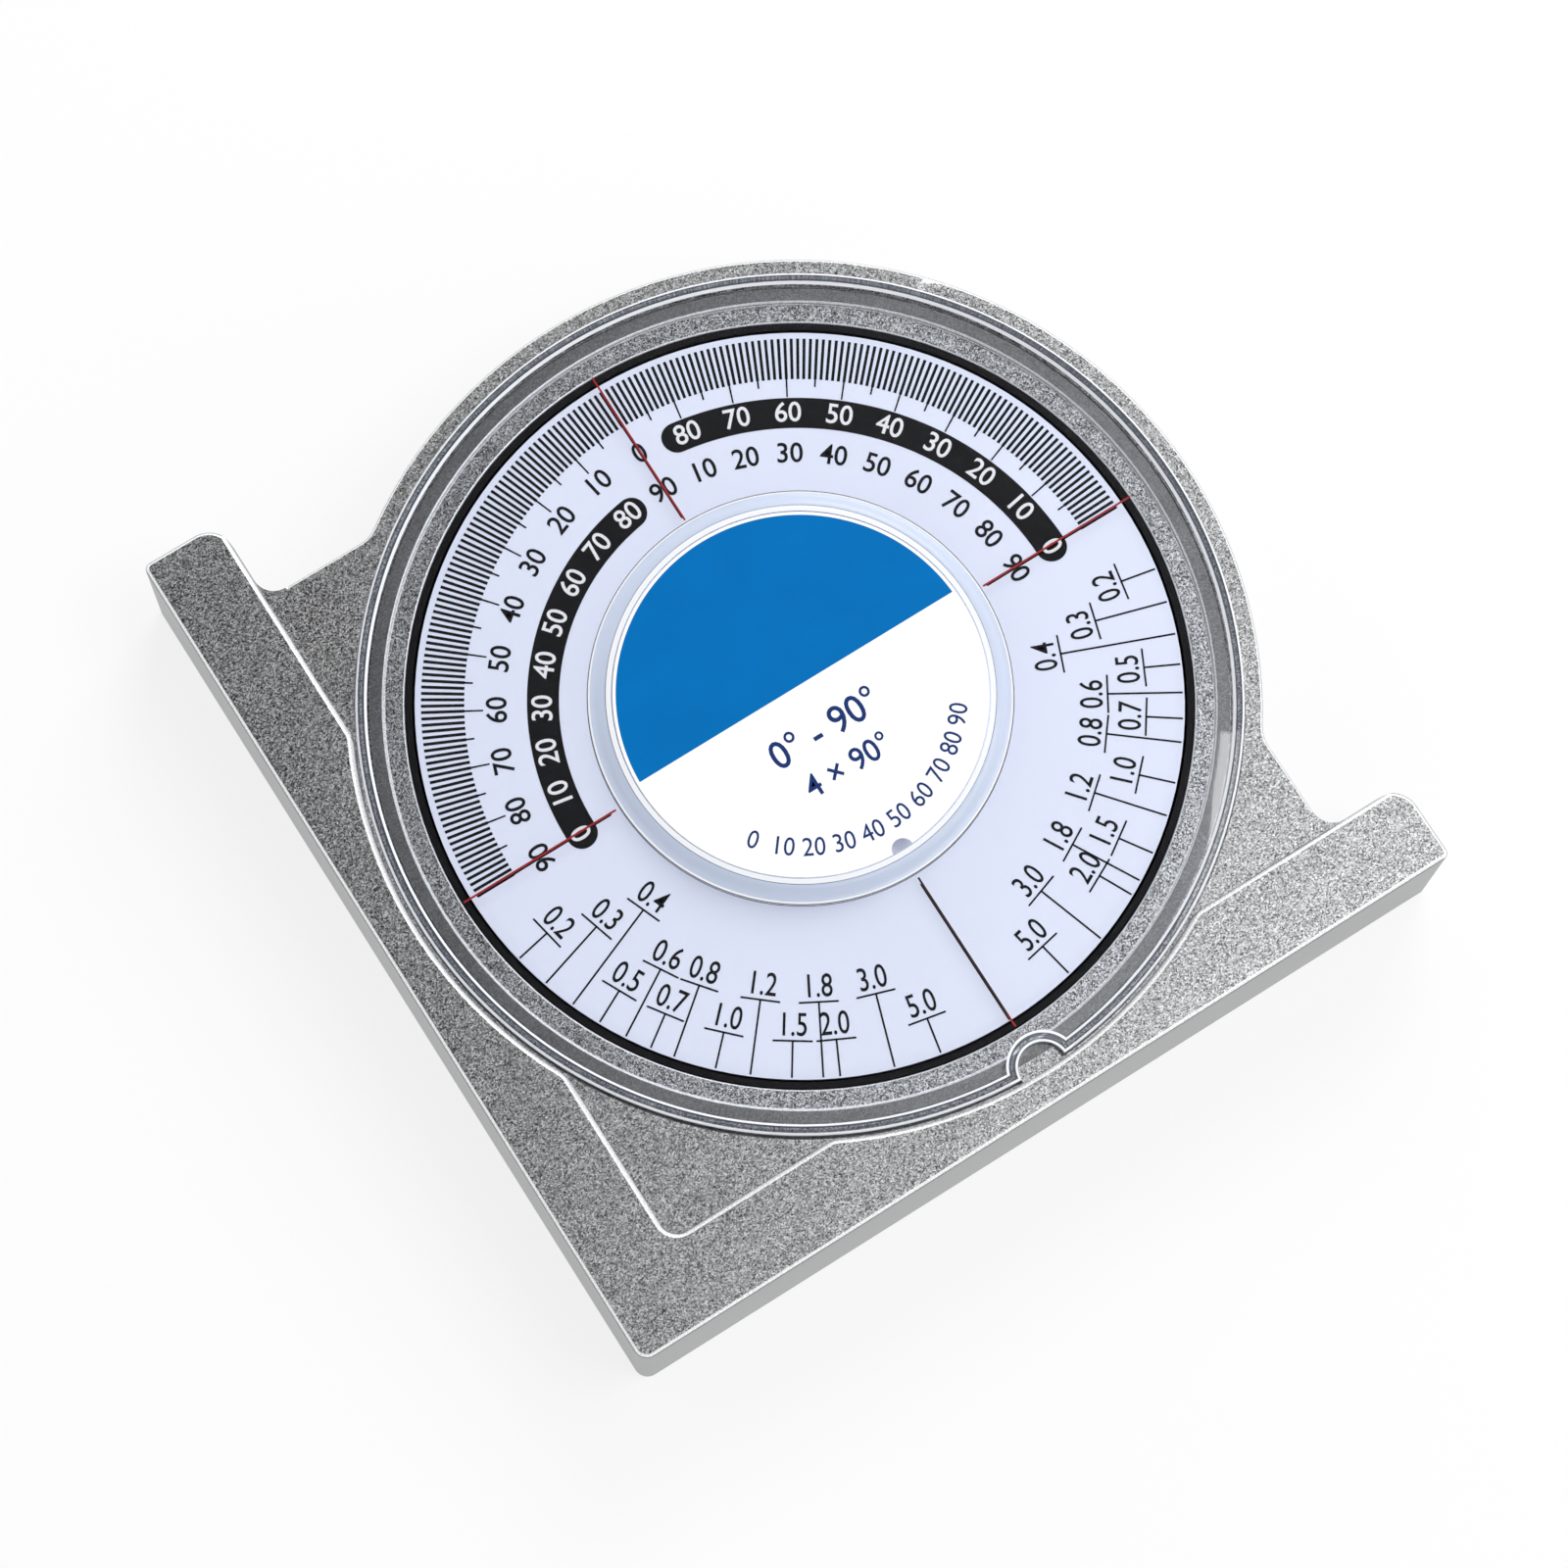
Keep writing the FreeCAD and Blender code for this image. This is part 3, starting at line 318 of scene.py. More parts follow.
def finish_piece(piece, body, slot, material, *replaced):
    """Gives a new piece its finish and its body, and hides the CAD nodes that it stands for."""
    piece.data.materials.clear()
    piece.data.materials.append(material)
    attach(piece, body)
    if replaced:
        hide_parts(*replaced)


def paint_nodes(material, *names):
    """Gives CAD nodes a finish."""
    for name in names:
        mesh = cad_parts[name].data
        mesh.materials.clear()
        mesh.materials.append(material)


def soft_copy(node, name, angle):
    """A copy of a CAD node with merged points, shaded so that its bevels look rounded."""
    deselect()
    piece = bpy.data.objects.new(name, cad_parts[node].data.copy())
    bpy.context.collection.objects.link(piece)
    edit(piece)
    bpy.ops.mesh.customdata_custom_splitnormals_clear()
    bpy.ops.mesh.remove_doubles(threshold=0.001 * MM)
    bpy.ops.mesh.dissolve_limited(angle_limit=math.radians(0.3))
    leave()
    bpy.ops.object.shade_smooth_by_angle(angle=math.radians(angle))
    bpy.ops.object.modifier_add(type="WEIGHTED_NORMAL")
    weight = piece.modifiers[-1]
    weight.keep_sharp = True
    weight.weight = 100
    bpy.ops.object.modifier_apply(modifier=weight.name)
    return named(name)


class Wire:
    """A number or colour on its way through a node tree. Arithmetic on it adds Math nodes."""

    def __init__(self, tree, socket):
        self.tree = tree
        self.socket = socket

    def math(self, operation, *values):
        node = self.tree.nodes.new("ShaderNodeMath")
        node.operation = operation
        for slot, value in zip(node.inputs, values):
            plug(self.tree, slot, value)
        return Wire(self.tree, node.outputs[0])

    def __add__(self, other):
        return self.math("ADD", self, other)

    def __radd__(self, other):
        return self.math("ADD", other, self)

    def __sub__(self, other):
        return self.math("SUBTRACT", self, other)

    def __rsub__(self, other):
        return self.math("SUBTRACT", other, self)

    def __mul__(self, other):
        return self.math("MULTIPLY", self, other)

    def __rmul__(self, other):
        return self.math("MULTIPLY", other, self)

    def __pow__(self, other):
        return self.math("POWER", self, other)

    def __rpow__(self, other):
        return self.math("POWER", other, self)

    def least(self, other):
        return self.math("MINIMUM", self, other)

    def most(self, other):
        return self.math("MAXIMUM", self, other)

    def clamp(self, low=0.0, high=1.0):
        return self.least(high).most(low)

    def above(self, level, width):
        """0 below the level and 1 above it, with a soft step of this width."""
        return self.math("MULTIPLY_ADD", self - level, 1 / width, 0.5).clamp()

    def line(self, level, width):
        """1 within half the width of the level and 0 elsewhere, with soft sides."""
        distance = self.math("ABSOLUTE", self - level)
        return 1 - distance.above(width / 2, LINE_SIDE)


def plug(tree, slot, value):
    """Links a wire to a socket, or sets the socket's own value."""
    if isinstance(value, Wire):
        tree.links.new(value.socket, slot)
    elif slot.type == "RGBA":
        slot.default_value = (*value, 1.0)
    else:
        slot.default_value = value


class Finish:
    """A material or world that is put together from nodes."""

    def __init__(self, name, world=None):
        self.data = world or bpy.data.materials.new(name)
        self.data.use_nodes = True
        self.tree = self.data.node_tree
        self.tree.nodes.clear()

    def add(self, kind, settings=None, values=None, output=0):
        """One node: its settings, then the values or wires of its sockets."""
        node = self.tree.nodes.new(kind)
        for name, value in (settings or {}).items():
            setattr(node, name, value)
        for slot, value in (values or {}).items():
            plug(self.tree, node.inputs[slot], value)
        return Wire(self.tree, node.outputs[output]) if node.outputs else None

    def place(self):
        """Object coordinates."""
        return self.add("ShaderNodeTexCoord", output="Object")

    def normal(self):
        return self.add("ShaderNodeTexCoord", output="Normal")

    def axis(self, vector, letter):
        return self.add("ShaderNodeSeparateXYZ", {}, {"Vector": vector}, output=letter)

    def radius(self, place):
        """Distance from the pivot axis."""
        x, y = self.axis(place, "X"), self.axis(place, "Y")
        return x.math("SQRT", x * x + y * y)

    def noise(self, place, size, detail=2.0, roughness=0.5):
        """Smooth noise from 0 to 1 with features of this size."""
        return self.add("ShaderNodeTexNoise", {}, {
            "Vector": place, "Scale": 1 / size, "Detail": detail, "Roughness": roughness})

    def cells(self, place, size):
        """One random number for each grain of this size."""
        shade = self.add("ShaderNodeTexVoronoi", {}, {"Vector": place, "Scale": 1 / size},
                         output="Color")
        return self.add("ShaderNodeSeparateColor", {}, {"Color": shade})

    def stretch(self, place, scale):
        return self.add("ShaderNodeMapping", {}, {"Vector": place, "Scale": scale})

    def blend(self, mask, first, second):
        """The first colour where the mask is 0 and the second where it is 1."""
        return self.add("ShaderNodeMix", {"data_type": "RGBA"},
                        {0: mask, 6: first, 7: second}, output=2)

    def shade(self, colour, amount):
        """A colour times a number."""
        grey = self.add("ShaderNodeCombineXYZ", {}, {"X": amount, "Y": amount, "Z": amount})
        return self.add("ShaderNodeMix", {"data_type": "RGBA", "blend_type": "MULTIPLY"},
                        {0: 1.0, 6: colour, 7: grey}, output=2)

    def bump(self, height, depth, strength=1.0):
        return self.add("ShaderNodeBump", {}, {
            "Height": height, "Distance": depth, "Strength": strength})

    def rays(self, *kinds):
        """1 for these kinds of rays and 0 for the others."""
        total = self.add("ShaderNodeLightPath", output=kinds[0])
        for kind in kinds[1:]:
            total = total + self.add("ShaderNodeLightPath", output=kind)
        return total.clamp()

    def surface(self, **values):
        """The main shader. Names have an underscore for each space."""
        sockets = {name.replace("_", " "): value for name, value in values.items()}
        return self.add("ShaderNodeBsdfPrincipled", {}, sockets)

    def clear(self, tint=WHITE):
        """A shader that lets light straight through."""
        return self.add("ShaderNodeBsdfTransparent", {}, {"Color": tint})

    def mix(self, mask, first, second):
        """The first shader where the mask is 0 and the second where it is 1."""
        return self.add("ShaderNodeMixShader", {}, {0: mask, 1: first, 2: second})

    def end(self, shader):
        """Links the shader to the output. Gives the finished material or world."""
        world = isinstance(self.data, bpy.types.World)
        self.add("ShaderNodeOutputWorld" if world else "ShaderNodeOutputMaterial", {},
                 {"Surface": shader})
        return self.data


def silver_casting(look):
    """Silver paint over a sand textured casting: flat tops grainy, side faces smoother, and the
    bevels and a thin line round the ledge lighter as a painted highlight. The step under the lens
    is darker with painted shade."""
    finish = Finish("silver_casting")
    place = finish.place()
    radius = finish.radius(place)
    facing = finish.axis(finish.normal(), "Z")
    top = facing.above(*TOP_STEP)
    bevel = facing.above(*BEVEL_STEP) * (1 - top)
    # Painted highlight: the bevels, and a thin line at the edge of the ledge, are made lighter and
    # less metallic
    painted_highlight = (bevel + top * radius.line(look.ledge_edge, 0.3 * MM)).clamp()
    # Painted shade under the lens: a little inside the ledge edge, and more in the band out to the
    # groove, where the grain is also weaker
    outside = radius.above(look.ledge_edge, 0.1 * MM)
    smooth_shaded_band = outside * (1 - radius.above(look.groove_edge, 0.1 * MM))

    coarse = finish.noise(place, look.grain * 1.3, detail=2.0, roughness=0.6)
    grains = finish.cells(place, look.grain)
    speckle = sand_speckle(coarse, grains)
    strength = (top * 0.8 + 0.2) * (1 - bevel * 0.8) * (1 - smooth_shaded_band * 0.85)
    clouds = (finish.noise(place, 14 * MM) - 0.5) * 0.1
    # The painted shade under the lens
    shadow = smooth_shaded_band * 0.55 + (1 - outside) * 0.25
    value = 0.97 + speckle * strength + clouds + painted_highlight * 1.6 - shadow

    height = (coarse * 0.7 + grains * 0.3) * (top * 0.75 + 0.25)
    shader = finish.surface(
        Base_Color=finish.shade(look.silver, value.clamp(0.15, 2.6)),
        Metallic=0.97 - painted_highlight * 0.75,
        Roughness=0.38 + (grains - 0.5) * 0.12 - bevel * 0.12,
        Normal=finish.bump(height, 0.02 * MM, 0.5))
    return finish.end(shader)


def sand_speckle(coarse, grains):
    """Lighter and darker spots of the sand grain, around 0."""
    light = grains ** 3 * 1.2
    dark = (1 - grains) ** 4 * 0.7
    mean = 0.16
    return (coarse - 0.5) * 0.3 + light - dark - mean


def moulded_plastic(name, shade, gloss, grain, depth, shine=0.5):
    """Moulded plastic with a fine grain."""
    finish = Finish(name)
    place = finish.place()
    fine = finish.noise(place, grain, detail=3.0, roughness=0.6)
    wide = finish.noise(place, 9 * MM)
    value = 0.9 + (fine - 0.5) * 0.35 + (wide - 0.5) * 0.15
    shader = finish.surface(
        Base_Color=finish.shade(shade, value), Roughness=gloss + (fine - 0.5) * 0.15,
        Specular_IOR_Level=shine, Normal=finish.bump(fine, depth, 0.5))
    return finish.end(shader)


def turned_metal(name, shade, gloss, streak):
    """Bare metal with fine tool marks."""
    finish = Finish(name)
    place = finish.place()
    marks = finish.noise(finish.stretch(place, streak), 0.12 * MM, detail=3.0, roughness=0.65)
    wide = finish.noise(place, 4 * MM)
    value = 0.95 + (marks - 0.5) * 0.3 + (wide - 0.5) * 0.1
    shader = finish.surface(
        Base_Color=finish.shade(shade, value), Metallic=1.0,
        Roughness=gloss + (marks - 0.5) * 0.2, Normal=finish.bump(marks, 0.006 * MM, 0.4))
    return finish.end(shader)


def clear_plastic(look):
    """Polished clear plastic. Shadow rays and soft light pass it, so that the dial behind it is
    lit. Its edges and the slope of its boss are part glass and part painted: a pale blue painted
    reflection, painted highlights and thin painted dark lines."""
    finish = Finish("lens_clear")
    place = finish.place()
    ripple = finish.noise(place, 9 * MM, detail=1.0)
    scuffs = finish.noise(finish.stretch(place, (1.0, 0.08, 1.0)), 0.6 * MM, detail=4.0,
                          roughness=0.7)
    glass = finish.surface(
        Base_Color=look.glass, Roughness=0.012 + scuffs.above(0.72, 0.1) * 0.03,
        Transmission_Weight=1.0, IOR=1.49, Normal=finish.bump(ripple, 0.01 * MM, 0.3))

    tint, light, dark = lens_edges(finish, place)
    # Painted reflection in pale blue on the wall and the boss slope, and painted highlight in near
    # white on the edges
    pale, bright = (0.55, 0.62, 0.77), (0.93, 0.94, 0.96)
    painted_sheen = finish.surface(
        Base_Color=finish.blend(light, pale, bright), Roughness=0.3, Specular_IOR_Level=0.3)
    # Painted dark lines along the edges of the lens
    line = finish.surface(Base_Color=(0.03, 0.035, 0.05), Roughness=0.4)
    seen = finish.mix(dark, finish.mix((tint + light).clamp(), glass, painted_sheen), line)
    clear = finish.clear((0.97, 0.975, 0.985))
    return finish.end(finish.mix(finish.rays("Is Shadow Ray", "Is Diffuse Ray"), seen, clear))


def lens_edges(finish, place):
    """Masks for the front of the lens: painted reflection on the wall and the boss slope, painted
    highlights along the edges, and thin painted dark lines.
    """
    front = finish.axis(place, "Z").above(LENS_PLATE + 0.02 * MM, 0.02 * MM)
    radius = finish.radius(place)
    from_notch = finish.add("ShaderNodeVectorMath", {"operation": "ADD"},
                            {0: place, 1: (0, LENS_RADIUS, 0)})
    notch = finish.radius(from_notch)
    inner = (radius - (LENS_RADIUS - LENS_WALL)).most(NOTCH_RADIUS + LENS_WALL - notch)
    outer = (LENS_RADIUS - radius).least(notch - NOTCH_RADIUS)

    wall = inner.above(0, LINE_SIDE)
    slope = radius.above(BOSS_RADIUS, LINE_SIDE) * (1 - radius.above(BOSS_FOOT, LINE_SIDE))
    # Painted reflection on the wall and the boss slope
    tint = wall * 0.12 + slope * 0.8
    # Painted highlights and painted dark lines along the edges
    light = (inner.line(*INNER_LIGHT) + outer.line(*OUTER_LIGHT)
             + radius.line(*FOOT_LIGHT) + radius.line(*BOSS_LIGHT))
    dark = (radius.line(*FOOT_DARK) + radius.line(*BOSS_DARK) * 0.7
            + inner.line(*INNER_DARK) + outer.line(*OUTER_DARK) * 0.7)
    return tint * front, (light * 0.9).clamp() * front, dark.clamp() * 0.8


def card_paint(look):
    """Faintly tinted white card, satin, with the least unevenness and a little painted shade near
    its rim.
    """
    finish = Finish("card_white")
    place = finish.place()
    fibre = finish.noise(place, 0.25 * MM, detail=3.0, roughness=0.6)
    wide = finish.noise(place, 16 * MM)
    # Painted shade: the card darkens a little towards its rim, next to the tray
    edge = finish.radius(place).above(CARD_EDGE - 0.9 * MM, 0.8 * MM)
    value = 1.0 + (fibre - 0.5) * 0.03 + (wide - 0.5) * 0.05 - edge * 0.04
    shader = finish.surface(
        Base_Color=finish.shade(look.card, value), Roughness=0.45 + (fibre - 0.5) * 0.1,
        Normal=finish.bump(fibre, 0.004 * MM, 0.3))
    return finish.end(shader)


def ink(name, shade):
    """Printing ink, a little uneven in its cover."""
    finish = Finish(name)
    grain = finish.noise(finish.place(), 0.12 * MM, detail=2.0, roughness=0.6)
    shader = finish.surface(
        Base_Color=finish.shade(shade, 0.95 + (grain - 0.5) * 0.5),
        Roughness=0.5 + (grain - 0.5) * 0.2, Specular_IOR_Level=0.1,
        Normal=finish.bump(grain, 0.003 * MM, 0.3))
    return finish.end(shader)


def line_paint(look):
    """Red filling of the reading lines, so thin that it casts a faint shadow. The lower line is
    dark up to its outer end."""
    finish = Finish("line_red")
    place = finish.place()
    grain = finish.noise(place, 0.3 * MM, detail=2.0, roughness=0.6)
    lower = 1 - finish.axis(place, "Y").above(-20 * MM, 1 * MM)
    dark = lower * (1 - finish.radius(place).above(42.4 * MM, 1 * MM))
    red = finish.shade(look.red, 0.85 + (grain - 0.5) * 0.6)
    paint = finish.surface(
        Base_Color=finish.blend(dark * 0.92, red, look.shade),
        Roughness=0.4 + (grain - 0.5) * 0.1)
    through = finish.rays("Is Shadow Ray") * 0.8
    return finish.end(finish.mix(through, paint, finish.clear()))


def label_paint(label):
    """The label: blue above, white below, with a white border."""
    finish = Finish("label_print")
    place = finish.place()
    grain = finish.noise(place, 0.2 * MM, detail=3.0, roughness=0.6)
    wide = finish.noise(place, 6 * MM)
    inside = 1 - finish.radius(place).above(LABEL_EDGE - label.border, 0.04 * MM)
    upper = finish.axis(place, "Y").above(label.split, 0.04 * MM)
    front = finish.axis(place, "Z").above(LABEL_FACE - 0.05 * MM, 0.02 * MM)
    blue = finish.shade(label.blue, 0.92 + (grain - 0.5) * 0.2 + (wide - 0.5) * 0.16)
    white = finish.shade(label.white, 1.0 + (grain - 0.5) * 0.03)
    shader = finish.surface(
        Base_Color=finish.blend(inside * upper * front, white, blue),
        Roughness=0.5 + (grain - 0.5) * 0.1, Specular_IOR_Level=0.05,
        Normal=finish.bump(grain, 0.003 * MM, 0.3))
    return finish.end(shader)


class Print:
    """Figures and lines round the pivot, all of one thickness, on a flat face."""

    def __init__(self, level, thickness):
        self.level = level
        self.thickness = thickness
        self.figure = self.measure_figure()

    def measure_figure(self):
        """Height of a figure of the built-in font at a size of 1."""
        deselect()
        bpy.ops.object.text_add()
        sample = bpy.context.object
        sample.data.body = "0"
        bpy.context.view_layer.update()
        height = sample.dimensions.y
        bpy.ops.object.delete()
        return height

    def place(self, radius, angle):
        """The middle of the ink at this radius and angle."""
        return (radius * math.cos(angle), radius * math.sin(angle),
                self.level + self.thickness / 2)

    def figures(self, words, height, radius, angle, narrow, weight=0.0, foot_in=False):
        """One number as a mesh. Its foot points at the pivot where foot_in is True, and away
        from it otherwise."""
        facing = angle - math.pi / 2 if foot_in else angle + math.pi / 2
        deselect()
        bpy.ops.object.text_add(location=self.place(radius, angle), rotation=(0, 0, facing))
        piece = bpy.context.object
        piece.scale = (narrow, 1, 1)
        text = piece.data
        text.body = words
        text.size = height / self.figure
        text.align_x = "CENTER"
        text.align_y = "CENTER"
        text.extrude = self.thickness / 2
        text.offset = weight
        text.resolution_u = 4
        bpy.ops.object.convert(target="MESH")
        return settle(bpy.context.object)

    def block(self, radius, angle, along, across):
        """A straight stroke with this size along the radius and across it."""
        deselect()
        bpy.ops.mesh.primitive_cube_add(
            size=1, location=self.place(radius, angle), rotation=(0, 0, angle),
            scale=(along, across, self.thickness))
        return settle(bpy.context.object)

    def line(self, inner, outer, width, angle):
        """A straight line along a radius."""
        return self.block((inner + outer) / 2, angle, outer - inner, width)

    def ticks(self, inner, outer, width, step, count):
        """Equal ticks over the upper half: one tick, spun round the pivot with copies."""
        tick = self.line(inner, outer, width, 0)
        edit(tick)
        bpy.ops.mesh.spin(steps=count, dupli=True, angle=math.radians(step) * count,
                          center=(0, 0, 0), axis=(0, 0, -1))
        leave()
        return outwards(tick)

    def band(self, radius, width, ends):
        """A band with round ends, between these two angles in degrees."""
        first, last = (math.radians(end) for end in ends)
        span = radius * (last - first)
        strip = self.strip(span, width, round(math.degrees(last - first)))
        bpy.ops.mesh.extrude_region_move(
            TRANSFORM_OT_translate={"value": (0, 0, self.thickness)})
        leave()
        self.bend(strip, radius, (first + last) / 2)
        return outwards(strip)

    def strip(self, span, width, cuts):
        """A flat straight strip with round ends, left open in edit mode."""
        deselect()
        bpy.ops.mesh.primitive_grid_add(x_subdivisions=cuts, y_subdivisions=1, size=1)
        strip = bpy.context.object
        strip.scale = (span, width, 1)
        settle(strip)
        edit(strip, "DESELECT")
        bpy.ops.mesh.select_mode(type="VERT")
        leave()
        squeeze = (span - width / ROUND_END) / (span - 2 * span / cuts)
        for point in strip.data.vertices:
            point.select = abs(abs(point.co.x) - span / 2) < SMALL
            if not point.select:
                point.co.x *= squeeze
        bpy.ops.object.mode_set(mode="EDIT")
        bpy.ops.mesh.bevel(offset=width / 2 * ROUND_END, segments=ROUND_STEPS,
                           affect="VERTICES", clamp_overlap=False)
        bpy.ops.mesh.select_all(action="SELECT")
        return strip

    def bend(self, strip, radius, middle):
        """Bends a straight strip round the pivot. Its middle comes to this angle."""
        for point in strip.data.vertices:
            angle = middle - point.co.x / radius
            reach = radius + point.co.y
            point.co = (reach * math.cos(angle), reach * math.sin(angle),
                        point.co.z + self.level)


class FINDER_OT_casting(Operator):
    """Silver body with soft edges, in place of the plain casting"""

    bl_idname = "finder.casting"
    bl_label = "Casting"

    def execute(self, context):
        silver = silver_casting(context.scene.finder_finish)
        piece = soft_copy("front_housing", "housing_casting", SOFT_ANGLE)
        finish_piece(piece, "housing", "silver_casting", silver, "front_housing")
        return {"FINISHED"}


class FINDER_OT_back(Operator):
    """Back cover, and the screws of the cover, tray and counterweight"""

    bl_idname = "finder.back"
    bl_label = "Back cover"

    def execute(self, context):
        look = context.scene.finder_finish
        paint_nodes(moulded_plastic("back_plate", look.plate, 0.5, 0.3 * MM, 0.03 * MM),
                    "back_cover")
        paint_nodes(turned_metal("screw_steel", look.screw, 0.32, EVEN),
                    "cover_screws", "tray_screws", "counterweight_screws")
        return {"FINISHED"}


class FINDER_OT_tray(Operator):
    """Black tray round the dial, its gasket, the bushes and the magnets"""

    bl_idname = "finder.tray"
    bl_label = "Tray and magnets"

    def execute(self, context):
        look = context.scene.finder_finish
        paint_nodes(moulded_plastic("tray_black", look.black, 0.5, 0.25 * MM, 0.02 * MM, 0.08),
                    "dial_tray")
        paint_nodes(moulded_plastic("gasket_rubber", look.rubber, 0.8, 0.15 * MM, 0.01 * MM),
                    "tray_gasket")
        paint_nodes(turned_metal("bush_brass", look.brass, 0.25, ROUND_THE_AXIS),
                    "front_bearing", "rear_bearing")
        paint_nodes(turned_metal("magnet", look.magnet, 0.5, EVEN),
                    "base_magnets", "side_magnets")
        paint_nodes(turned_metal("strip_steel", look.strip, 0.35, ALONG_THE_PART),
                    "base_backing_strip", "side_backing_strip")
        return {"FINISHED"}


class FINDER_OT_lens(Operator):
    """Clear cover with its red reading lines"""

    bl_idname = "finder.lens"
    bl_label = "Lens"

    def execute(self, context):
        look = context.scene.finder_finish
        piece = soft_copy("lens", "lens_cover", SOFT_ANGLE)
        finish_piece(piece, "housing", "lens_clear", clear_plastic(look), "lens")
        paint_nodes(line_paint(look), "index_lines")
        return {"FINISHED"}


class FINDER_OT_dial(Operator):
    """Dial card with its degree ticks, numbers, bands and slope scale, and the pieces behind it"""

    bl_idname = "finder.dial"
    bl_label = "Dial"

    def execute(self, context):
        look, sizes = context.scene.finder_finish, context.scene.finder_print
        on_card = Print(CARD_FACE, sizes.ink)
        on_bands = Print(CARD_FACE + sizes.ink * 0.8, sizes.ink)
        black = ink("ink_black", look.black)
        white = ink("ink_white", look.paper)
        paint_nodes(card_paint(look), "dial_card")
        self.add_scale("degree_ticks", self.ticks(sizes, on_card), black)
        self.add_scale("number_bands", self.bands(sizes, on_card), black)
        self.add_scale("degree_numbers", self.card_numbers(sizes, on_card), black)
        self.add_scale("band_numbers", self.band_numbers(sizes, on_bands), white)
        self.add_scale("slope_scale", self.slopes(sizes, on_card), black)
        self.finish_rotor(look)
        return {"FINISHED"}

    def add_scale(self, name, pieces, colour):
        finish_piece(join(name, pieces), "dial", "card_white", colour)

    def ticks(self, sizes, on_card):
        """Rows of ticks. Each longer tick goes on inwards, a little narrower, from a shorter."""
        rows = [
            (sizes.tick_short, sizes.tick_outer, sizes.tick_width, 1, 180),
            (sizes.tick_middle, sizes.tick_short, sizes.middle_width, 5, 36),
            (sizes.tick_long, sizes.tick_middle, sizes.long_width, 10, 18),
            (sizes.zero_start, sizes.tick_long, sizes.zero_width, 90, 2),
        ]
        return [on_card.ticks(*row) for row in rows]

    def bands(self, sizes, on_card):
        return [on_card.band(sizes.outer_band, sizes.band_width, OUTER_BAND_ENDS),
                on_card.band(sizes.inner_band, sizes.band_width, INNER_BAND_ENDS)]

    def number(self, sizes, on_face, tens, radius, degrees):
        return on_face.figures(str(tens), sizes.digit_height, radius, math.radians(degrees),
                               sizes.narrow, sizes.weight, foot_in=True)

    def card_numbers(self, sizes, on_card):
        """Black numbers: 0 to 90 to the left in the outer row and to the right in the inner."""
        numbers = []
        for tens in range(0, 91, 10):
            numbers.append(self.number(sizes, on_card, tens, sizes.outer_row, 90 + tens))
            if tens:
                numbers.append(self.number(sizes, on_card, tens, sizes.inner_row, 90 - tens))
        numbers.append(self.number(sizes, on_card, 90, sizes.inner_row, 90))
        return numbers

    def band_numbers(self, sizes, on_bands):
        """White numbers: 0 to 80 upwards from each side."""
        numbers = []
        for tens in range(0, 81, 10):
            numbers.append(self.number(sizes, on_bands, tens, sizes.inner_band, 180 - tens))
            numbers.append(self.number(sizes, on_bands, tens, sizes.outer_band, tens))
        return numbers

    def slopes(self, sizes, on_card):
        """The scale in the lower half, the same to both sides of the line that points down."""
        pieces = [on_card.line(sizes.zero_start, CARD_EDGE - sizes.down_margin,
                               sizes.slope_line, DOWN)]
        for row, values in SLOPES.items():
            for words in values:
                off = math.atan(1 / float(words))
                pieces += self.slope(sizes, on_card, words, getattr(sizes, row), DOWN - off)
                pieces += self.slope(sizes, on_card, words, getattr(sizes, row), DOWN + off)
        return pieces

    def slope(self, sizes, on_card, words, radius, angle):
        """One slope number, the bar over it, and the line from the bar to the edge."""
        bar = radius + sizes.slope_gap
        return [
            on_card.figures(words, sizes.slope_height, radius, angle,
                            sizes.narrow * sizes.slope_narrow, sizes.weight / 2),
            on_card.block(bar, angle, sizes.slope_line, sizes.slope_bar),
            on_card.line(bar, sizes.slope_end, sizes.slope_line, angle),
        ]

    def finish_rotor(self, look):
        """Finishes of the pieces that turn with the card."""
        paint_nodes(moulded_plastic("carrier_plastic", look.carrier, 0.5, 0.3 * MM, 0.01 * MM),
                    "dial_carrier")
        paint_nodes(turned_metal("weight_steel", look.ballast, 0.4, ALONG_THE_PART),
                    "counterweight")
        paint_nodes(turned_metal("shaft_steel", look.shaft, 0.2, ACROSS_THE_SHAFT),
                    "pivot_shaft")
        paint_nodes(moulded_plastic("washer_plastic", look.washer, 0.4, 0.2 * MM, 0.01 * MM),
                    "front_thrust_washer", "rear_thrust_washer")


class FINDER_OT_label(Operator):
    """Centre label with plain figures"""

    bl_idname = "finder.label"
    bl_label = "Centre label"

    def execute(self, context):
        label = context.scene.finder_label
        on_label = Print(LABEL_FACE, label.ink)
        navy = ink("ink_navy", label.navy)
        paint_nodes(label_paint(label), "centre_label")
        pieces = []
        for tens in range(0, 91, 10):
            angle = DOWN + label.arc_span * (tens / 90 - 0.5)
            pieces.append(on_label.figures(str(tens), label.arc_height, label.arc, angle,
                                           label.arc_narrow))
        for words, height, row in (("0° - 90°", label.large, label.large_row),
                                   ("4 × 90°", label.small, label.small_row)):
            pieces.append(on_label.figures(words, height, row, DOWN, label.narrow,
                                           label.weight))
        finish_piece(join("label_figures", pieces), "housing", "label_print", navy)
        return {"FINISHED"}


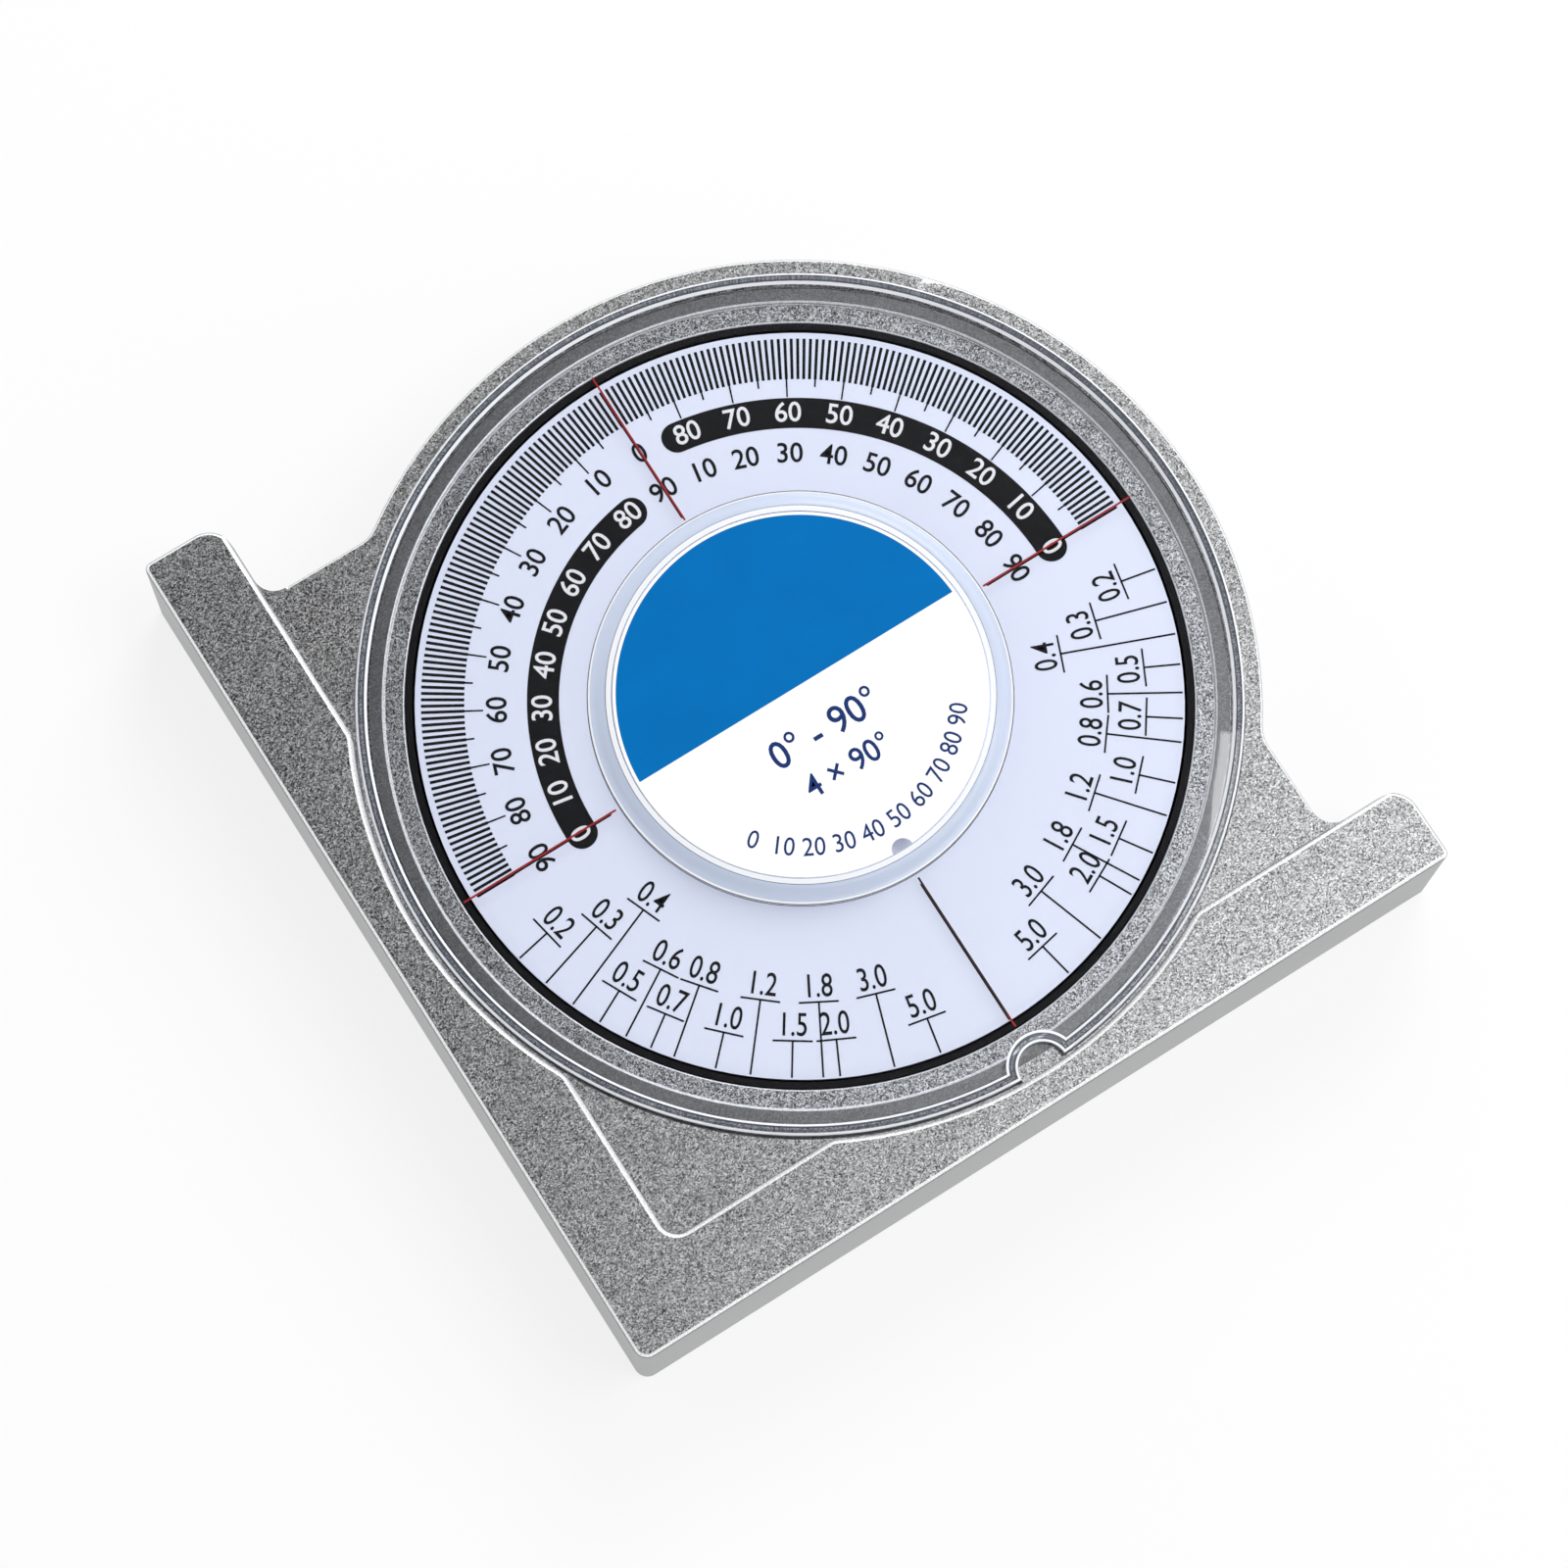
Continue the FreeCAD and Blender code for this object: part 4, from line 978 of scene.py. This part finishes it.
class FINDER_OT_studio(Operator):
    """White floor, soft lamps and the camera"""

    bl_idname = "finder.studio"
    bl_label = "Studio"

    def execute(self, context):
        studio = context.scene.finder_studio
        self.add_floor(studio)
        self.add_world(context, studio)
        self.add_lamp("main_lamp", studio.key_place, studio.key, studio.spread)
        self.add_lamp("second_lamp", studio.fill_place, studio.fill, studio.spread)
        self.add_camera(context, studio)
        context.scene.view_settings.view_transform = "Standard"
        return {"FINISHED"}

    def add_floor(self, studio):
        """White paper just below the back of the part. From below it is clear."""
        deselect()
        level = CAD_BOX[0][2] - studio.gap
        bpy.ops.mesh.primitive_plane_add(size=studio.floor, location=(0, 0, level))
        floor = settle(named("studio_floor"))
        finish = Finish("studio_floor")
        grain = finish.noise(finish.place(), 40 * MM)
        paper = finish.surface(
            Base_Color=finish.shade(studio.paper, 0.99 + (grain - 0.5) * 0.02), Roughness=0.9)
        white = finish.add("ShaderNodeEmission", {}, {"Color": WHITE, "Strength": 1.0})
        seen = finish.rays("Is Camera Ray", "Is Glossy Ray", "Is Transmission Ray")
        from_above = finish.mix(seen * 0.8, paper, white)
        underside = finish.add("ShaderNodeNewGeometry", output="Backfacing")
        floor.data.materials.append(
            finish.end(finish.mix(underside, from_above, finish.clear())))

    def add_world(self, context, studio):
        """A light tent: white at the sides, dim overhead, and plain white to the camera."""
        world = bpy.data.worlds.new("studio_light")
        context.scene.world = world
        finish = Finish("studio_light", world)
        height = finish.axis(finish.add("ShaderNodeTexCoord", output="Generated"), "Z")
        overhead = height.above(*OVERHEAD_STEP) * (studio.around - studio.above)
        low = (1 - height.above(*LOW_STEP)) * studio.low
        light = studio.around - overhead + low
        seen = finish.rays("Is Camera Ray")
        finish.end(finish.add("ShaderNodeBackground", {}, {
            "Color": WHITE, "Strength": light * (1 - seen) + seen}))

    def add_lamp(self, name, place, power, spread):
        """A square lamp that faces the pivot."""
        aim = (-Vector(place)).to_track_quat("-Z", "Y").to_euler()
        bpy.ops.object.light_add(type="AREA", location=place, rotation=aim)
        lamp = named(name)
        lamp.data.size = spread
        lamp.data.energy = power

    def add_camera(self, context, studio):
        bpy.ops.object.camera_add(location=studio.eye,
                                  rotation=(studio.tilt, studio.lean, studio.swing))
        camera = named("camera")
        camera.data.sensor_width = 36
        camera.data.lens = studio.lens
        camera.data.shift_y = studio.rise
        camera.data.clip_start = 10 * MM
        context.scene.camera = camera


class FINDER_PT_panel(Panel):
    """Buttons for the pieces of the angle finder"""

    bl_label = "Angle Finder"
    bl_idname = "FINDER_PT_panel"
    bl_space_type = "VIEW_3D"
    bl_region_type = "UI"
    bl_category = "Angle Finder"

    def draw(self, context):
        for operator in STEPS:
            self.layout.operator(operator.bl_idname)


SETTINGS = {
    "finder_print": DialPrintSettings,
    "finder_label": LabelSettings,
    "finder_finish": FinishSettings,
    "finder_studio": StudioSettings,
}
STEPS = [FINDER_OT_casting, FINDER_OT_back, FINDER_OT_tray, FINDER_OT_lens, FINDER_OT_dial,
         FINDER_OT_label, FINDER_OT_studio]


def register():
    for group in (*SETTINGS.values(), *STEPS, FINDER_PT_panel):
        bpy.utils.register_class(group)
    for name, group in SETTINGS.items():
        setattr(bpy.types.Scene, name, PointerProperty(type=group))


def unregister():
    for name in SETTINGS:
        delattr(bpy.types.Scene, name)
    for group in (FINDER_PT_panel, *reversed(STEPS), *SETTINGS.values()):
        bpy.utils.unregister_class(group)


def main():
    register()
    bpy.ops.finder.casting()
    bpy.ops.finder.back()
    bpy.ops.finder.tray()
    bpy.ops.finder.lens()
    bpy.ops.finder.dial()
    bpy.ops.finder.label()
    bpy.ops.finder.studio()


if __name__ == "__main__":
    main()
